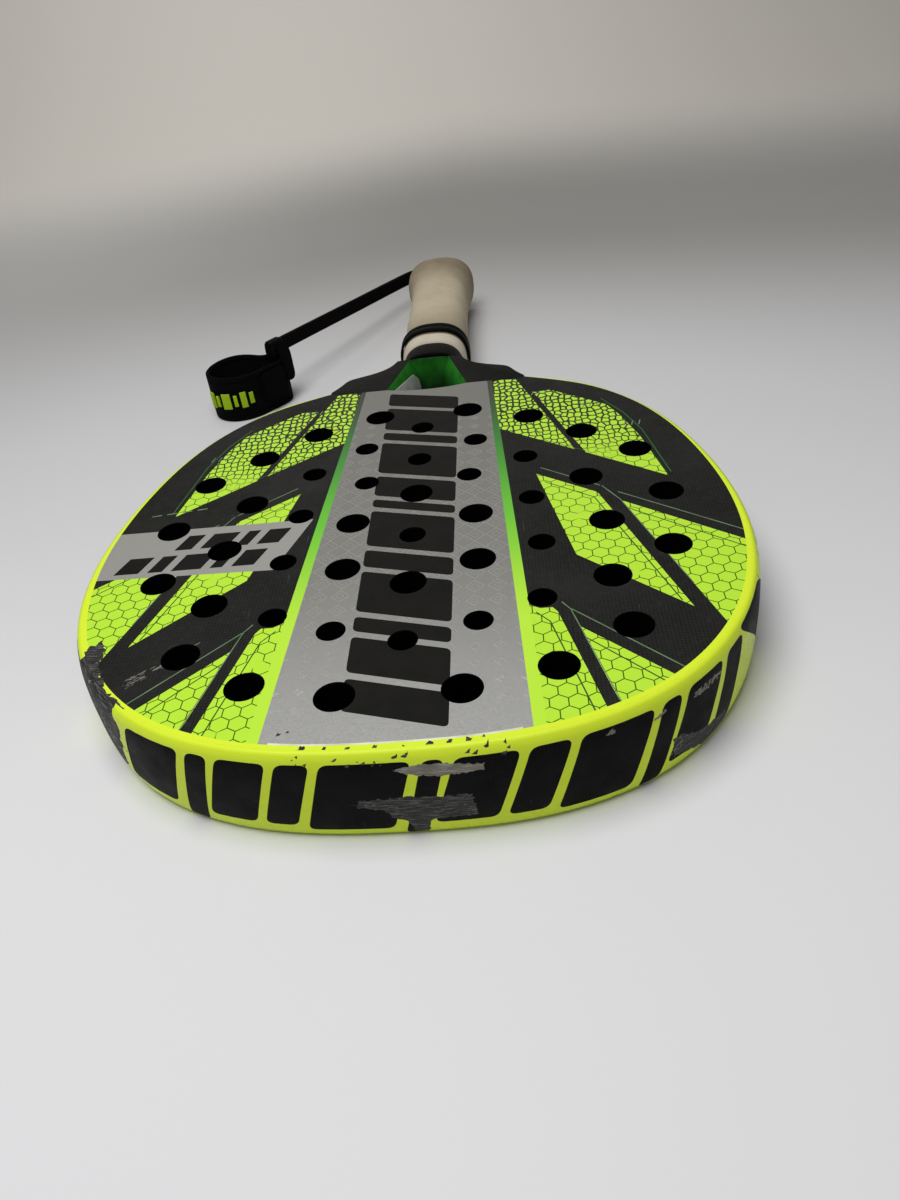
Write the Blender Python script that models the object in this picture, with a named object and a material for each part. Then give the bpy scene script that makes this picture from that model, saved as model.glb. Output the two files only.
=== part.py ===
"""Padel racket lying flat, with a perforated foam-cored head, an open throat, a wrapped handle
and a wrist strap.

Metres, +Z up.  The origin is under the middle of the racket, on the surface it lies on.
The handle points along +Y, the head's tip along -Y, and the racket's two faces are level.
"""
import math

import bpy
import numpy as np
from mathutils import Matrix, Vector
from mathutils.geometry import delaunay_2d_cdt

MM = 0.001

# ---------------------------------------------------------------- driving dimensions (mm)
LENGTH = 455.0
HEAD_WIDTH = 259.6
THICKNESS = 38.0
MID_Z = THICKNESS / 2
TIP_Y = -LENGTH / 2
BUTT_Y = LENGTH / 2
GAP = 0.3                       # clearance between touching pieces

# Right half of the head's outer edge, tip to shoulder.
HEAD_EDGE = [(0, TIP_Y), (44.4, -224.2), (88.7, -205.6), (119.4, -166.3),
             (HEAD_WIDTH / 2, -116.9), (124.0, -65.5), (103.4, -13.5), (80.0, 12.0), (51.0, 27.5)]
HEAD_STATIONS = 61

RIM_INSET = 3.8                 # from the widest line in to the crease at each face
RIM_POWER = 2.8                 # roundness of the rim's side wall
RIM_LIP = 0.4                   # flat between the crease and the face sheet
FRAME_WIDTH = 12.0
SKIN = 1.2                      # thickness of each face sheet

SMALL_HOLE = 5.0                # radii
BIG_HOLE = 6.6
CENTRE_HOLES = [(-21.3, SMALL_HOLE), (-51.1, SMALL_HOLE), (-80.0, BIG_HOLE),
                (-110.9, SMALL_HOLE), (-142.1, BIG_HOLE), (-174.8, SMALL_HOLE)]
SIDE_HOLES = [
    (21.1, -7.1, BIG_HOLE), (24.8, -37.5, SMALL_HOLE), (22.1, -68.1, SMALL_HOLE),
    (24.9, -99.2, BIG_HOLE), (25.6, -130.7, BIG_HOLE), (25.7, -167.1, SMALL_HOLE),
    (20.5, -200.3, BIG_HOLE),
    (49.6, -19.3, BIG_HOLE), (46.5, -56.7, SMALL_HOLE), (47.6, -90.6, SMALL_HOLE),
    (49.8, -123.0, SMALL_HOLE), (48.1, -157.1, SMALL_HOLE), (51.4, -192.7, BIG_HOLE),
    (72.3, -38.4, BIG_HOLE), (70.6, -78.0, BIG_HOLE), (75.5, -111.5, BIG_HOLE),
    (73.6, -147.2, BIG_HOLE), (77.3, -175.3, BIG_HOLE),
    (93.3, -58.4, BIG_HOLE), (100.8, -94.1, BIG_HOLE), (97.5, -130.9, BIG_HOLE)]
HOLE_SIDES = 10
HOLE_FLAT = math.cos(math.pi / HOLE_SIDES)   # a hole side's distance from its centre, for radius 1

# Throat opening and the arms beside it.
THROAT_NEAR_Y = 23.0
THROAT_FAR_Y = 59.0
THROAT_NEAR_HALF = 20.5
THROAT_FAR_HALF = 10.5
THROAT_DIP = 3.0                # how far the bridge's edge curves back at the middle
BRIDGE_Y = 8.0                  # where the foam core ends and the bridge begins
ARM_EDGE = [(50.6, 27.8), (46.5, 34.0), (42.6, 40.5), (37.0, 43.6), (27.5, 48.0), (21.5, 53.5),
            (18.8, THROAT_FAR_Y)]
ARM_INSET = 2.6
ARM_SWELL = 4.5                 # how far the arms' inner walls stand into the gap at mid height

# Handle: stations are (y, half width, half height) of its oval sections.
HANDLE_SIDES = 20
SECTION_POWER = 2.5
SHELL_OUTSIDE = [(THROAT_FAR_Y + GAP, 18.8, 18.6), (63.0, 18.0, 17.4), (67.0, 16.2, 15.2),
                 (72.0, 14.4, 13.2), (80.0, 13.6, 12.4), (209.0, 13.6, 12.4)]
SHELL_WALL = 2.0
SHELL_FLOOR_Y = 74.0
FOAM_END_Y = 192.0
COLLAR_OUTSIDE = [(68.5, 18.0, 17.0), (70.0, 18.2, 17.3), (86.0, 17.0, 16.0), (87.4, 16.4, 15.4)]
COLLAR_INSIDE = [(87.4, 13.9, 12.7), (72.0, 15.1, 13.9), (68.5, 16.9, 15.7)]
BASE_GRIP_OUTSIDE = [(88.0, 15.6, 14.6), (89.2, 17.0, 16.0), (91.5, 18.0, 16.9), (96.6, 18.4, 17.1),
                     (98.0, 16.9, 15.6), (140.0, 16.6, 15.5), (180.0, 16.2, 15.2),
                     (206.0, 18.0, 16.0), (218.0, 20.3, 17.0), (222.8, 20.4, 17.0)]
BASE_GRIP_INSIDE = [(222.8, 19.3, 15.9), (217.4, 19.0, 15.6), (209.6, 14.9, 13.3),
                    (206.0, 13.9, 12.7), (88.0, 13.9, 12.7)]
OVERGRIP_OUTSIDE = [(98.3, 18.4, 17.0), (99.5, 18.6, 17.2), (138.0, 18.5, 17.2),
                    (160.0, 18.1, 17.0), (180.0, 17.9, 16.9), (196.0, 18.9, 17.4),
                    (210.0, 20.9, 18.3), (219.0, 22.2, 18.9), (224.0, 22.1, 18.9),
                    (226.8, 20.8, 17.8), (BUTT_Y, 18.4, 15.6), (BUTT_Y, 8.4, 7.6)]
OVERGRIP_INSIDE = [(226.0, 8.4, 7.6), (225.9, 19.6, 16.6), (223.1, 20.7, 17.3),
                   (218.0, 20.6, 17.3), (206.0, 18.3, 16.3), (180.0, 16.5, 15.5),
                   (140.0, 16.9, 15.8), (98.3, 17.2, 15.9)]
BUTT_CAP_OUTSIDE = [(193.0, 11.0, 9.8), (194.0, 11.3, 10.1), (209.3, 11.3, 10.1),
                    (209.5, 14.6, 13.0), (217.0, 18.7, 15.3), (222.6, 19.0, 15.6),
                    (225.0, 18.4, 15.0)]
STRAP_HOLE = 4.3                # radius through the butt cap
KNOT_POCKET = 6.4               # wider pocket behind it for the knot
KNOT_POCKET_Y = 206.0
KNOT = [(194.6, 1.5), (195.6, 4.2), (199.0, 5.8), (202.6, 5.6), (205.0, 3.6), (205.6, 1.5)]

RING_Y = 103.4
RING_WIDTH = 10.2
RING_INNER = (18.95, 17.6)
RING_OUTER = (20.3, 18.95)

# Wrist strap: centre line from the butt cap to the wristband.
STRAP_DIAMETER = 6.4
STRAP_ROUTE = [(0.0, 206.2, 19.0), (0.0, 221.0, 19.0), (-0.2, 232.0, 19.0), (-2.6, 243.0, 19.1),
               (-9.8, 249.6, 19.2), (-18.2, 248.6, 19.5), (-26.0, 239.5, 20.3),
               (-47.5, 198.8, 24.1), (-68.9, 158.2, 27.9), (-93.9, 110.8, 32.3),
               (-97.5, 104.0, 32.9)]
STRAP_POINTS = 60
SLIDER_START = 0.5              # slider's near end, back along the strap from its end
SLIDER_LENGTH = 11.0
SLIDER_HALF = 4.4

# Wristband: a soft band standing on its edge; its centre line seen from above.
BAND_LOOP = [(-134.2, 99.0), (-130.0, 88.0), (-119.0, 83.2), (-107.5, 87.0), (-98.0, 96.5),
             (-91.2, 107.0), (-94.6, 114.6), (-103.0, 112.4), (-111.0, 115.2), (-121.0, 116.6),
             (-130.0, 110.4)]
BAND_STATIONS = 56
BAND_HEIGHT = 27.0
BAND_THICKNESS = 2.6
TAB_ROUTE = [(-90.4, 101.6), (-95.7, 94.2), (-101.2, 88.2)]
TAB_THICKNESS = 2.0
TAB_Z = (7.0, 25.0)
LABEL_ROUTE = [(-132.6, 86.9), (-128.6, 83.1), (-119.0, 80.4), (-109.6, 82.8), (-106.3, 85.2)]
LABEL_THICKNESS = 0.8
LABEL_Z = (9.0, 18.5)

COLOURS = {                     # base colour, roughness, metallic
    "lime": ((0.60, 0.86, 0.05), 0.35, 0.0),
    "carbon": ((0.03, 0.03, 0.03), 0.40, 0.0),
    "silver": ((0.42, 0.42, 0.41), 0.40, 0.3),
    "green": ((0.03, 0.22, 0.03), 0.45, 0.0),
    "foam_dark": ((0.06, 0.06, 0.055), 0.90, 0.0),
    "foam_tan": ((0.62, 0.52, 0.33), 0.90, 0.0),
    "grip": ((0.62, 0.58, 0.48), 0.85, 0.0),
    "cushion": ((0.70, 0.66, 0.58), 0.85, 0.0),
    "rubber": ((0.02, 0.02, 0.02), 0.60, 0.0),
    "webbing": ((0.01, 0.01, 0.01), 0.90, 0.0),
    "label": ((0.55, 0.70, 0.12), 0.60, 0.0)}


# ---------------------------------------------------------------- curves
def natural_spline(points, count, closed=False):
    """Evenly parameterised cubic spline through points, as an array of count positions."""
    knots = np.array(points, dtype=float)
    if closed:
        turns = 3               # three laps; the middle one is smooth where the loop closes
        knots = np.vstack([knots] * turns + [knots[:1]])
    steps = np.linalg.norm(np.diff(knots, axis=0), axis=1)
    at = np.concatenate([[0.0], np.cumsum(steps)])
    size = len(knots)
    matrix = np.eye(size)
    right = np.zeros_like(knots)
    for i in range(1, size - 1):
        matrix[i, i - 1] = steps[i - 1]
        matrix[i, i] = 2 * (steps[i - 1] + steps[i])
        matrix[i, i + 1] = steps[i]
        ahead = (knots[i + 1] - knots[i]) / steps[i]
        behind = (knots[i] - knots[i - 1]) / steps[i - 1]
        right[i] = 6 * (ahead - behind)
    bend = np.linalg.solve(matrix, right)
    if closed:
        lap = at[-1] / turns
        wanted = lap + np.linspace(0, lap, count, endpoint=False)
    else:
        wanted = np.linspace(0, at[-1], count)
    result = []
    for value in wanted:
        i = min(max(int(np.searchsorted(at, value)) - 1, 0), size - 2)
        span = steps[i]
        a = (at[i + 1] - value) / span
        b = 1 - a
        curve = ((a ** 3 - a) * bend[i] + (b ** 3 - b) * bend[i + 1]) * span * span / 6
        result.append(a * knots[i] + b * knots[i + 1] + curve)
    return np.array(result)


def left_normals(points, closed=False):
    """Unit normals on the left of the way of travel."""
    if closed:
        along = np.roll(points, -1, axis=0) - np.roll(points, 1, axis=0)
    else:
        along = np.gradient(points, axis=0)
    along = along / np.linalg.norm(along, axis=1)[:, None]
    return np.stack([-along[:, 1], along[:, 0]], axis=1)


def head_edge():
    """The head's outer edge from the left shoulder round the tip to the right shoulder."""
    left = [(-x, y) for x, y in reversed(HEAD_EDGE[1:])]
    return natural_spline(left + HEAD_EDGE, HEAD_STATIONS)


def throat_near_edge(steps):
    """The bridge's concave edge at the throat opening, from left to right."""
    points = []
    for i in range(steps + 1):
        across = -1 + 2 * i / steps
        points.append((THROAT_NEAR_HALF * across,
                       THROAT_NEAR_Y - THROAT_DIP * (1 - across ** 2)))
    return points


def rim_inset(z, depth):
    """How far the rounded side wall stands in from its widest line at height z."""
    reach = min(1.0, abs(2 * z / THICKNESS - 1))
    return depth * (1 - (1 - reach ** RIM_POWER) ** (1 / RIM_POWER))


# ---------------------------------------------------------------- objects
def material(kind):
    name = "mat_" + kind
    if name in bpy.data.materials:
        return bpy.data.materials[name]
    colour, roughness, metallic = COLOURS[kind]
    made = bpy.data.materials.new(name)
    made.use_nodes = True
    shader = made.node_tree.nodes["Principled BSDF"]
    shader.inputs["Base Color"].default_value = (*colour, 1.0)
    shader.inputs["Roughness"].default_value = roughness
    shader.inputs["Metallic"].default_value = metallic
    made.diffuse_color = (*colour, 1.0)
    return made


def add_mesh(name, vertices, faces, kind, origin=(0, 0, 0)):
    """Make one object from millimetre coordinates, with its origin where given."""
    mesh = bpy.data.meshes.new(name)
    base = Vector(origin)
    scaled = [(Vector(vertex) - base) * MM for vertex in vertices]
    mesh.from_pydata(scaled, [], faces)
    mesh.validate()
    mesh.shade_smooth()
    mesh.set_sharp_from_angle(angle=math.radians(35))
    mesh.materials.append(material(kind))
    made = bpy.data.objects.new(name, mesh)
    made.location = base * MM
    bpy.context.scene.collection.objects.link(made)
    return made


def add_plate(name, outline, holes, z_low, z_high, kind):
    """A flat plate: an outline in plan with round holes, between two heights."""
    points = [Vector(point) for point in outline]
    edges = [(i, (i + 1) % len(outline)) for i in range(len(outline))]
    for x, y, radius in holes:
        first = len(points)
        for k in range(HOLE_SIDES):
            angle = 2 * math.pi * k / HOLE_SIDES
            points.append(Vector((x + radius * math.cos(angle), y + radius * math.sin(angle))))
            edges.append((first + k, first + (k + 1) % HOLE_SIDES))
    flat, _, triangles, *_ = delaunay_2d_cdt(points, edges, [], 1, 1e-6)

    def in_hole(centre):
        return any(math.hypot(centre[0] - x, centre[1] - y) < r * HOLE_FLAT for x, y, r in holes)

    kept = []
    for triangle in triangles:
        corners = [flat[i] for i in triangle]
        centre = sum(corners, Vector((0, 0))) / 3
        if in_hole(centre):
            continue
        area = (corners[1] - corners[0]).cross(corners[2] - corners[0])
        kept.append(tuple(triangle) if area > 0 else tuple(reversed(triangle)))
    sides = {}
    for a, b, c in kept:
        for side in ((a, b), (b, c), (c, a)):
            sides[side] = True
    count = len(flat)
    vertices = [(p.x, p.y, z_high) for p in flat] + [(p.x, p.y, z_low) for p in flat]
    faces = list(kept)
    faces += [(c + count, b + count, a + count) for a, b, c in kept]
    for a, b in sides:
        if (b, a) not in sides:
            faces.append((b, a, a + count, b + count))
    return add_mesh(name, vertices, faces, kind)


def add_loft(name, rings, kind, ends="capped", origin=(0, 0, 0)):
    """Skin a row of equal rings; ends are capped, or joined to each other when 'joined'."""
    size = len(rings[0])
    vertices = [tuple(point) for ring in rings for point in ring]
    faces = []
    last = len(rings) if ends == "joined" else len(rings) - 1
    for i in range(last):
        here = i * size
        there = ((i + 1) % len(rings)) * size
        for k in range(size):
            after = (k + 1) % size
            faces.append((here + k, here + after, there + after, there + k))
    if ends == "capped":
        faces.append(tuple(reversed(range(size))))
        faces.append(tuple(range((len(rings) - 1) * size, len(rings) * size)))
    made = add_mesh(name, vertices, faces, kind, origin)
    if volume(made) < 0:
        made.data.flip_normals()
    return made


def volume(made):
    """Signed volume of a closed mesh; negative when its faces point inwards."""
    total = 0.0
    for polygon in made.data.polygons:
        corners = [made.data.vertices[i].co for i in polygon.vertices]
        for i in range(1, len(corners) - 1):
            total += corners[0].dot(corners[i].cross(corners[i + 1]))
    return total


def oval(y, half_width, half_height, power=SECTION_POWER):
    """One oval section of the handle, standing across the Y axis at mid height."""
    ring = []
    for k in range(HANDLE_SIDES):
        angle = 2 * math.pi * k / HANDLE_SIDES
        across = math.copysign(abs(math.cos(angle)) ** (2 / power), math.cos(angle))
        up = math.copysign(abs(math.sin(angle)) ** (2 / power), math.sin(angle))
        ring.append((half_width * across, y, MID_Z + half_height * up))
    return ring


def add_sleeve(name, outside, inside, kind):
    """A tube of oval sections: outside stations forward, then inside stations back."""
    rings = [oval(*station) for station in outside + inside]
    return add_loft(name, rings, kind, ends="joined")


# ---------------------------------------------------------------- head
def frame_profile():
    """Section of the hollow frame as (inset, z) points, going up the outside."""
    side = [THICKNESS * share for share in (0.0, 0.04, 0.14, 0.32, 0.5, 0.68, 0.86, 0.96, 1.0)]
    points = [(rim_inset(z, RIM_INSET), z) for z in side]
    lip = RIM_INSET + RIM_LIP
    seat = SKIN + GAP
    points += [(lip, THICKNESS), (lip, THICKNESS - seat), (FRAME_WIDTH, THICKNESS - seat),
               (FRAME_WIDTH, seat), (lip, seat), (lip, 0.0)]
    return points


def make_frame_tube(edge, inward):
    """Hollow tube bent round the head, open at both shoulders."""
    outer = frame_profile()
    middle = Vector((6.6, MID_Z))
    bore = [(middle.x + (d - middle.x) * 0.64, middle.y + (z - middle.y) * 0.86) for d, z in outer]
    rows = []
    for point, normal in zip(edge, inward):
        rows.append([[(point[0] + d * normal[0], point[1] + d * normal[1], z) for d, z in section]
                     for section in (outer, bore)])
    size = len(outer)
    vertices = [corner for row in rows for section in row for corner in section]
    faces = []
    for i in range(len(rows) - 1):
        for which in (0, 1):
            here = (2 * i + which) * size
            there = here + 2 * size
            for k in range(size):
                after = (k + 1) % size
                quad = (here + k, there + k, there + after, here + after)
                faces.append(quad if which == 0 else tuple(reversed(quad)))
    for first, flip in ((0, False), (2 * (len(rows) - 1) * size, True)):
        for k in range(size):
            after = (k + 1) % size
            quad = (first + k, first + after, first + size + after, first + size + k)
            faces.append(tuple(reversed(quad)) if flip else quad)
    made = add_mesh("frame_tube", vertices, faces, "lime")
    if volume(made) < 0:
        made.data.flip_normals()


def all_holes():
    holes = [(0.0, y, radius) for y, radius in CENTRE_HOLES]
    for x, y, radius in SIDE_HOLES:
        holes += [(x, y, radius), (-x, y, radius)]
    return holes


def cut_at(points, y_top):
    """The stretch of a left-to-right edge that lies below y_top, with its two cut ends."""
    inside = [tuple(p) for p in points if p[1] < y_top]
    crossings = []
    for a, b in zip(points[:-1], points[1:]):
        if (a[1] < y_top) != (b[1] < y_top):
            share = (y_top - a[1]) / (b[1] - a[1])
            crossings.append((a[0] + share * (b[0] - a[0]), y_top))
    return [crossings[0]] + inside + [crossings[-1]]


def make_head():
    edge = head_edge()
    inward = left_normals(edge)
    make_frame_tube(edge, inward)

    skin_edge = edge + inward * (RIM_INSET + RIM_LIP + GAP)
    mouth = list(reversed(throat_near_edge(8)))
    skin_outline = [tuple(p) for p in skin_edge] + [(46.0, THROAT_NEAR_Y)]
    skin_outline += mouth + [(-46.0, THROAT_NEAR_Y)]
    add_plate("face_front", skin_outline, all_holes(), THICKNESS - SKIN, THICKNESS, "silver")
    add_plate("face_back", skin_outline, all_holes(), 0.0, SKIN, "carbon")

    inner = edge + inward * (FRAME_WIDTH + GAP)
    seat = SKIN + GAP
    core = cut_at(inner, BRIDGE_Y - GAP)
    add_plate("core_foam", core, all_holes(), seat, THICKNESS - seat, "foam_dark")

    top_right = [tuple(p) for p in inner if p[0] > 0 and p[1] > BRIDGE_Y]
    low_right = cut_at(inner, BRIDGE_Y)[-1]
    right_side = [low_right] + top_right + [(48.0, THROAT_NEAR_Y - GAP)]
    left_side = [(-x, y) for x, y in reversed(right_side)]
    bridge = right_side + mouth + left_side
    add_plate("throat_bridge", bridge, [], seat, THICKNESS - seat, "green")


def make_throat_arm(name, side):
    """Solid arm between a shoulder of the head and the neck, rounded on its outer edge."""
    edge = natural_spline(ARM_EDGE, 15)
    inward = left_normals(edge)
    foot = THROAT_NEAR_Y + GAP
    rings = []
    for share in (0.0, 0.03, 0.12, 0.3, 0.5, 0.7, 0.88, 0.97, 1.0):
        z = THICKNESS * share
        inset = rim_inset(z, ARM_INSET)
        swell = ARM_SWELL * (1 - (2 * share - 1) ** 2)
        inner = [(THROAT_FAR_HALF - swell, THROAT_FAR_Y), (THROAT_NEAR_HALF - swell, foot),
                 (48.3, foot)]
        ring = []
        for (x, y), (across, along) in zip(edge, inward):
            ring.append((side * (x + across * inset), min(y + along * inset, THROAT_FAR_Y), z))
        ring += [(side * x, y, z) for x, y in inner]
        rings.append(ring)
    add_loft(name, rings, "carbon")


# ---------------------------------------------------------------- handle
def grown(stations, by):
    return [(y, width + by, height + by) for y, width, height in stations]


def make_handle():
    outside = SHELL_OUTSIDE
    inside = [(outside[-1][0], outside[-1][1] - SHELL_WALL, outside[-1][2] - SHELL_WALL),
              (SHELL_FLOOR_Y, outside[-1][1] - SHELL_WALL, outside[-1][2] - SHELL_WALL)]
    powers = [4.0, 3.4, 3.0, 2.7] + [SECTION_POWER] * (len(outside) + len(inside) - 4)
    rings = [oval(*station, power) for station, power in zip(outside + inside, powers)]
    add_loft("handle_shell", rings, "carbon")

    bore = (inside[0][1] - GAP, inside[0][2] - GAP)
    foam = [(SHELL_FLOOR_Y + GAP, *bore), (FOAM_END_Y, *bore)]
    add_loft("handle_foam", [oval(*station) for station in foam], "foam_tan")

    add_sleeve("neck_collar", COLLAR_OUTSIDE, COLLAR_INSIDE, "rubber")
    add_sleeve("base_grip", BASE_GRIP_OUTSIDE, BASE_GRIP_INSIDE, "cushion")
    add_sleeve("overgrip", OVERGRIP_OUTSIDE, OVERGRIP_INSIDE, "grip")

    pocket = [(225.0, STRAP_HOLE), (KNOT_POCKET_Y, STRAP_HOLE), (KNOT_POCKET_Y, KNOT_POCKET),
              (193.0, KNOT_POCKET)]
    rings = [oval(*station) for station in BUTT_CAP_OUTSIDE]
    rings += [oval(y, radius, radius, 2.0) for y, radius in pocket]
    add_loft("butt_cap", rings, "rubber", ends="joined")
    add_loft("strap_knot", [oval(y, r, r, 2.0) for y, r in KNOT], "webbing")

    half = RING_WIDTH / 2
    low, high = RING_Y - half, RING_Y + half
    flat = [(low, *RING_INNER), (low, RING_OUTER[0] - 0.5, RING_OUTER[1] - 0.5),
            (low + 1.0, *RING_OUTER), (high - 1.0, *RING_OUTER),
            (high, RING_OUTER[0] - 0.5, RING_OUTER[1] - 0.5), (high, *RING_INNER)]
    rings = [oval(*station) for station in flat]
    add_loft("rubber_ring", rings, "rubber", ends="joined", origin=(0, RING_Y, MID_Z))


# ---------------------------------------------------------------- strap and wristband
def make_strap():
    """Wrist strap as a tube, and the slider round it."""
    route = natural_spline(STRAP_ROUTE, STRAP_POINTS)
    curve = bpy.data.curves.new("wrist_strap", "CURVE")
    curve.dimensions = "3D"
    curve.bevel_depth = STRAP_DIAMETER / 2 * MM
    curve.bevel_resolution = 3
    curve.use_fill_caps = True
    line = curve.splines.new("POLY")
    line.points.add(len(route) - 1)
    for point, (x, y, z) in zip(line.points, route):
        point.co = (x * MM, y * MM, z * MM, 1.0)
    curve.materials.append(material("webbing"))
    strap = bpy.data.objects.new("wrist_strap", curve)
    bpy.context.scene.collection.objects.link(strap)

    end = Vector(STRAP_ROUTE[-1])
    way = (Vector(STRAP_ROUTE[-2]) - end).normalized()
    across = way.cross(Vector((0, 0, 1))).normalized()
    up = across.cross(way)
    frame = Matrix((across, up, way)).transposed()
    bore = STRAP_DIAMETER / 2 + 0.45
    rings = []
    near, far = SLIDER_START, SLIDER_START + SLIDER_LENGTH
    for half, power, along in ((SLIDER_HALF - 0.8, 4, near), (SLIDER_HALF, 4, near + 0.8),
                               (SLIDER_HALF, 4, far - 0.8), (SLIDER_HALF - 0.8, 4, far),
                               (bore, 2, far), (bore, 2, near)):
        ring = []
        for x, _, z in oval(0, half, half, power):
            ring.append(end + frame @ Vector((x, z - MID_Z, along)))
        rings.append(ring)
    middle = end + way * (near + far) / 2
    add_loft("strap_slider", rings, "webbing", ends="joined", origin=middle)


def strip_rings(centre_line, normals, thickness, z_low, z_high):
    """Rectangular sections of a strip that stands on its edge along a plan line."""
    half = thickness / 2
    rings = []
    for (x, y), (nx, ny) in zip(centre_line, normals):
        inner = (x - nx * half, y - ny * half)
        outer = (x + nx * half, y + ny * half)
        rings.append([(*inner, z_low), (*outer, z_low), (*outer, z_high), (*inner, z_high)])
    return rings


def make_wristband():
    loop = natural_spline(BAND_LOOP, BAND_STATIONS, closed=True)
    rings = strip_rings(loop, left_normals(loop, closed=True), BAND_THICKNESS, 0.0, BAND_HEIGHT)
    add_loft("wristband", rings, "webbing", ends="joined")

    tab = natural_spline(TAB_ROUTE, 9)
    rings = strip_rings(tab, left_normals(tab), TAB_THICKNESS, *TAB_Z)
    add_loft("wristband_tab", rings, "webbing", origin=(*TAB_ROUTE[0], sum(TAB_Z) / 2))

    label = natural_spline(LABEL_ROUTE, 9)
    rings = strip_rings(label, left_normals(label), LABEL_THICKNESS, *LABEL_Z)
    add_loft("wristband_label", rings, "label")


def main():
    for old in list(bpy.data.objects):
        bpy.data.objects.remove(old, do_unlink=True)
    make_head()
    make_throat_arm("throat_arm_right", 1)
    make_throat_arm("throat_arm_left", -1)
    make_handle()
    make_strap()
    make_wristband()


main()
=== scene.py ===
"""Looks of a used padel racket with its wrist strap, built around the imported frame.

Lengths are millimetres until a mesh is made. The racket's face looks up, the tip points to -Y.
"""

import math
import random

import bpy
import numpy as np
from mathutils import Matrix, Vector
from mathutils.geometry import delaunay_2d_cdt


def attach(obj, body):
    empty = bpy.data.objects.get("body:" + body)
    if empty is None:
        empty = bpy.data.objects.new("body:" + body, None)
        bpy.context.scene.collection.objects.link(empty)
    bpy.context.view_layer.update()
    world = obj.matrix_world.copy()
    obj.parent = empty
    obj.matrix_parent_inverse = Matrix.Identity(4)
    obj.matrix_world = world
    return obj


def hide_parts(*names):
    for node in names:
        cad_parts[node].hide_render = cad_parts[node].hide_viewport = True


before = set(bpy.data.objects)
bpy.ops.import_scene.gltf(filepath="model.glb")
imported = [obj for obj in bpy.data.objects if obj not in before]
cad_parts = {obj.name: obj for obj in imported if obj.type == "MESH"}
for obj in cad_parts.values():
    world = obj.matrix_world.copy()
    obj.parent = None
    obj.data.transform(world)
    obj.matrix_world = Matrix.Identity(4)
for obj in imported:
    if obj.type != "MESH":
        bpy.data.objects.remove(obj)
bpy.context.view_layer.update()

MM = 0.001

# Camera, in metres and degrees.
CAMERA_PLACE = (0.0433855, -0.4144691, 0.2382241)
CAMERA_LENS = 27.956
CAMERA_YAW = -6.09135
CAMERA_PITCH = 37.46156
CAMERA_ROLL = -8.04882

# Head. The half outline runs from the tip to the right shoulder.
THICKNESS = 38.0
MID_Z = THICKNESS / 2
HEAD_EDGE = [(0.0, -227.5), (44.4, -224.2), (88.7, -205.6), (119.4, -166.3), (129.8, -116.9),
             (124.0, -65.5), (103.4, -13.5), (80.0, 12.0), (51.0, 27.5)]
HEAD_STATIONS = 241
RIM_INSET = 3.8
RIM_POWER = 2.8
RIM_LEVELS = 18
RIM_DEPTH = 6.0
SKIN = 1.2
HOLE_SIDES = 40
HOLE_BEVEL = 0.3
SMALL_HOLE = 5.0
BIG_HOLE = 6.6
CENTRE_HOLES = [(-21.3, SMALL_HOLE), (-51.1, SMALL_HOLE), (-80.0, BIG_HOLE),
                (-110.9, SMALL_HOLE), (-142.1, BIG_HOLE), (-174.8, SMALL_HOLE)]
SIDE_HOLES = [
    (21.1, -7.1, BIG_HOLE), (24.8, -37.5, SMALL_HOLE), (22.1, -68.1, SMALL_HOLE),
    (24.9, -99.2, BIG_HOLE), (25.6, -130.7, BIG_HOLE), (25.7, -167.1, SMALL_HOLE),
    (20.5, -200.3, BIG_HOLE), (49.6, -19.3, BIG_HOLE), (46.5, -56.7, SMALL_HOLE),
    (47.6, -90.6, SMALL_HOLE), (49.8, -123.0, SMALL_HOLE), (48.1, -157.1, SMALL_HOLE),
    (51.4, -192.7, BIG_HOLE), (72.3, -38.4, BIG_HOLE), (70.6, -78.0, BIG_HOLE),
    (75.5, -111.5, BIG_HOLE), (73.6, -147.2, BIG_HOLE), (77.3, -175.3, BIG_HOLE),
    (93.3, -58.4, BIG_HOLE), (100.8, -94.1, BIG_HOLE), (97.5, -130.9, BIG_HOLE)]

# Throat.
THROAT_NEAR_Y = 23.0
THROAT_FAR_Y = 59.0
THROAT_NEAR_HALF = 20.5
THROAT_FAR_HALF = 10.5
THROAT_DIP = 3.0
ARM_EDGE = [(50.6, 27.8), (46.5, 34.0), (42.6, 40.5), (37.0, 43.6), (27.5, 48.0), (21.5, 53.5),
            (18.8, THROAT_FAR_Y)]
ARM_INSET = 2.6
ARM_SWELL = 4.5

# Handle stations: (y, half width, half height). The neck's fourth number makes it squarer.
NECK = [(59.3, 18.8, 18.6, 4.0), (59.9, 18.75, 18.5, 3.9), (63.0, 18.0, 17.4, 3.4), (65.0, 17.2, 16.4, 3.1),
        (67.0, 16.2, 15.2, 3.0), (72.0, 14.4, 13.2, 2.7), (100.0, 13.6, 12.4, 2.5)]
COLLAR = [(68.5, 17.2, 16.2), (69.2, 18.1, 17.2), (71.0, 18.2, 17.3), (85.4, 17.0, 16.0),
          (86.8, 16.4, 15.4), (87.4, 15.4, 14.4), (87.4, 13.9, 12.7), (68.5, 16.9, 15.7)]
CUSHION = [(88.0, 15.2, 14.2), (88.6, 16.4, 15.4), (89.6, 17.3, 16.3), (91.5, 18.0, 16.9),
           (94.0, 18.3, 17.1), (96.6, 18.4, 17.1), (98.0, 16.9, 15.6), (98.0, 14.5, 13.2),
           (88.0, 13.9, 12.7)]
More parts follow.
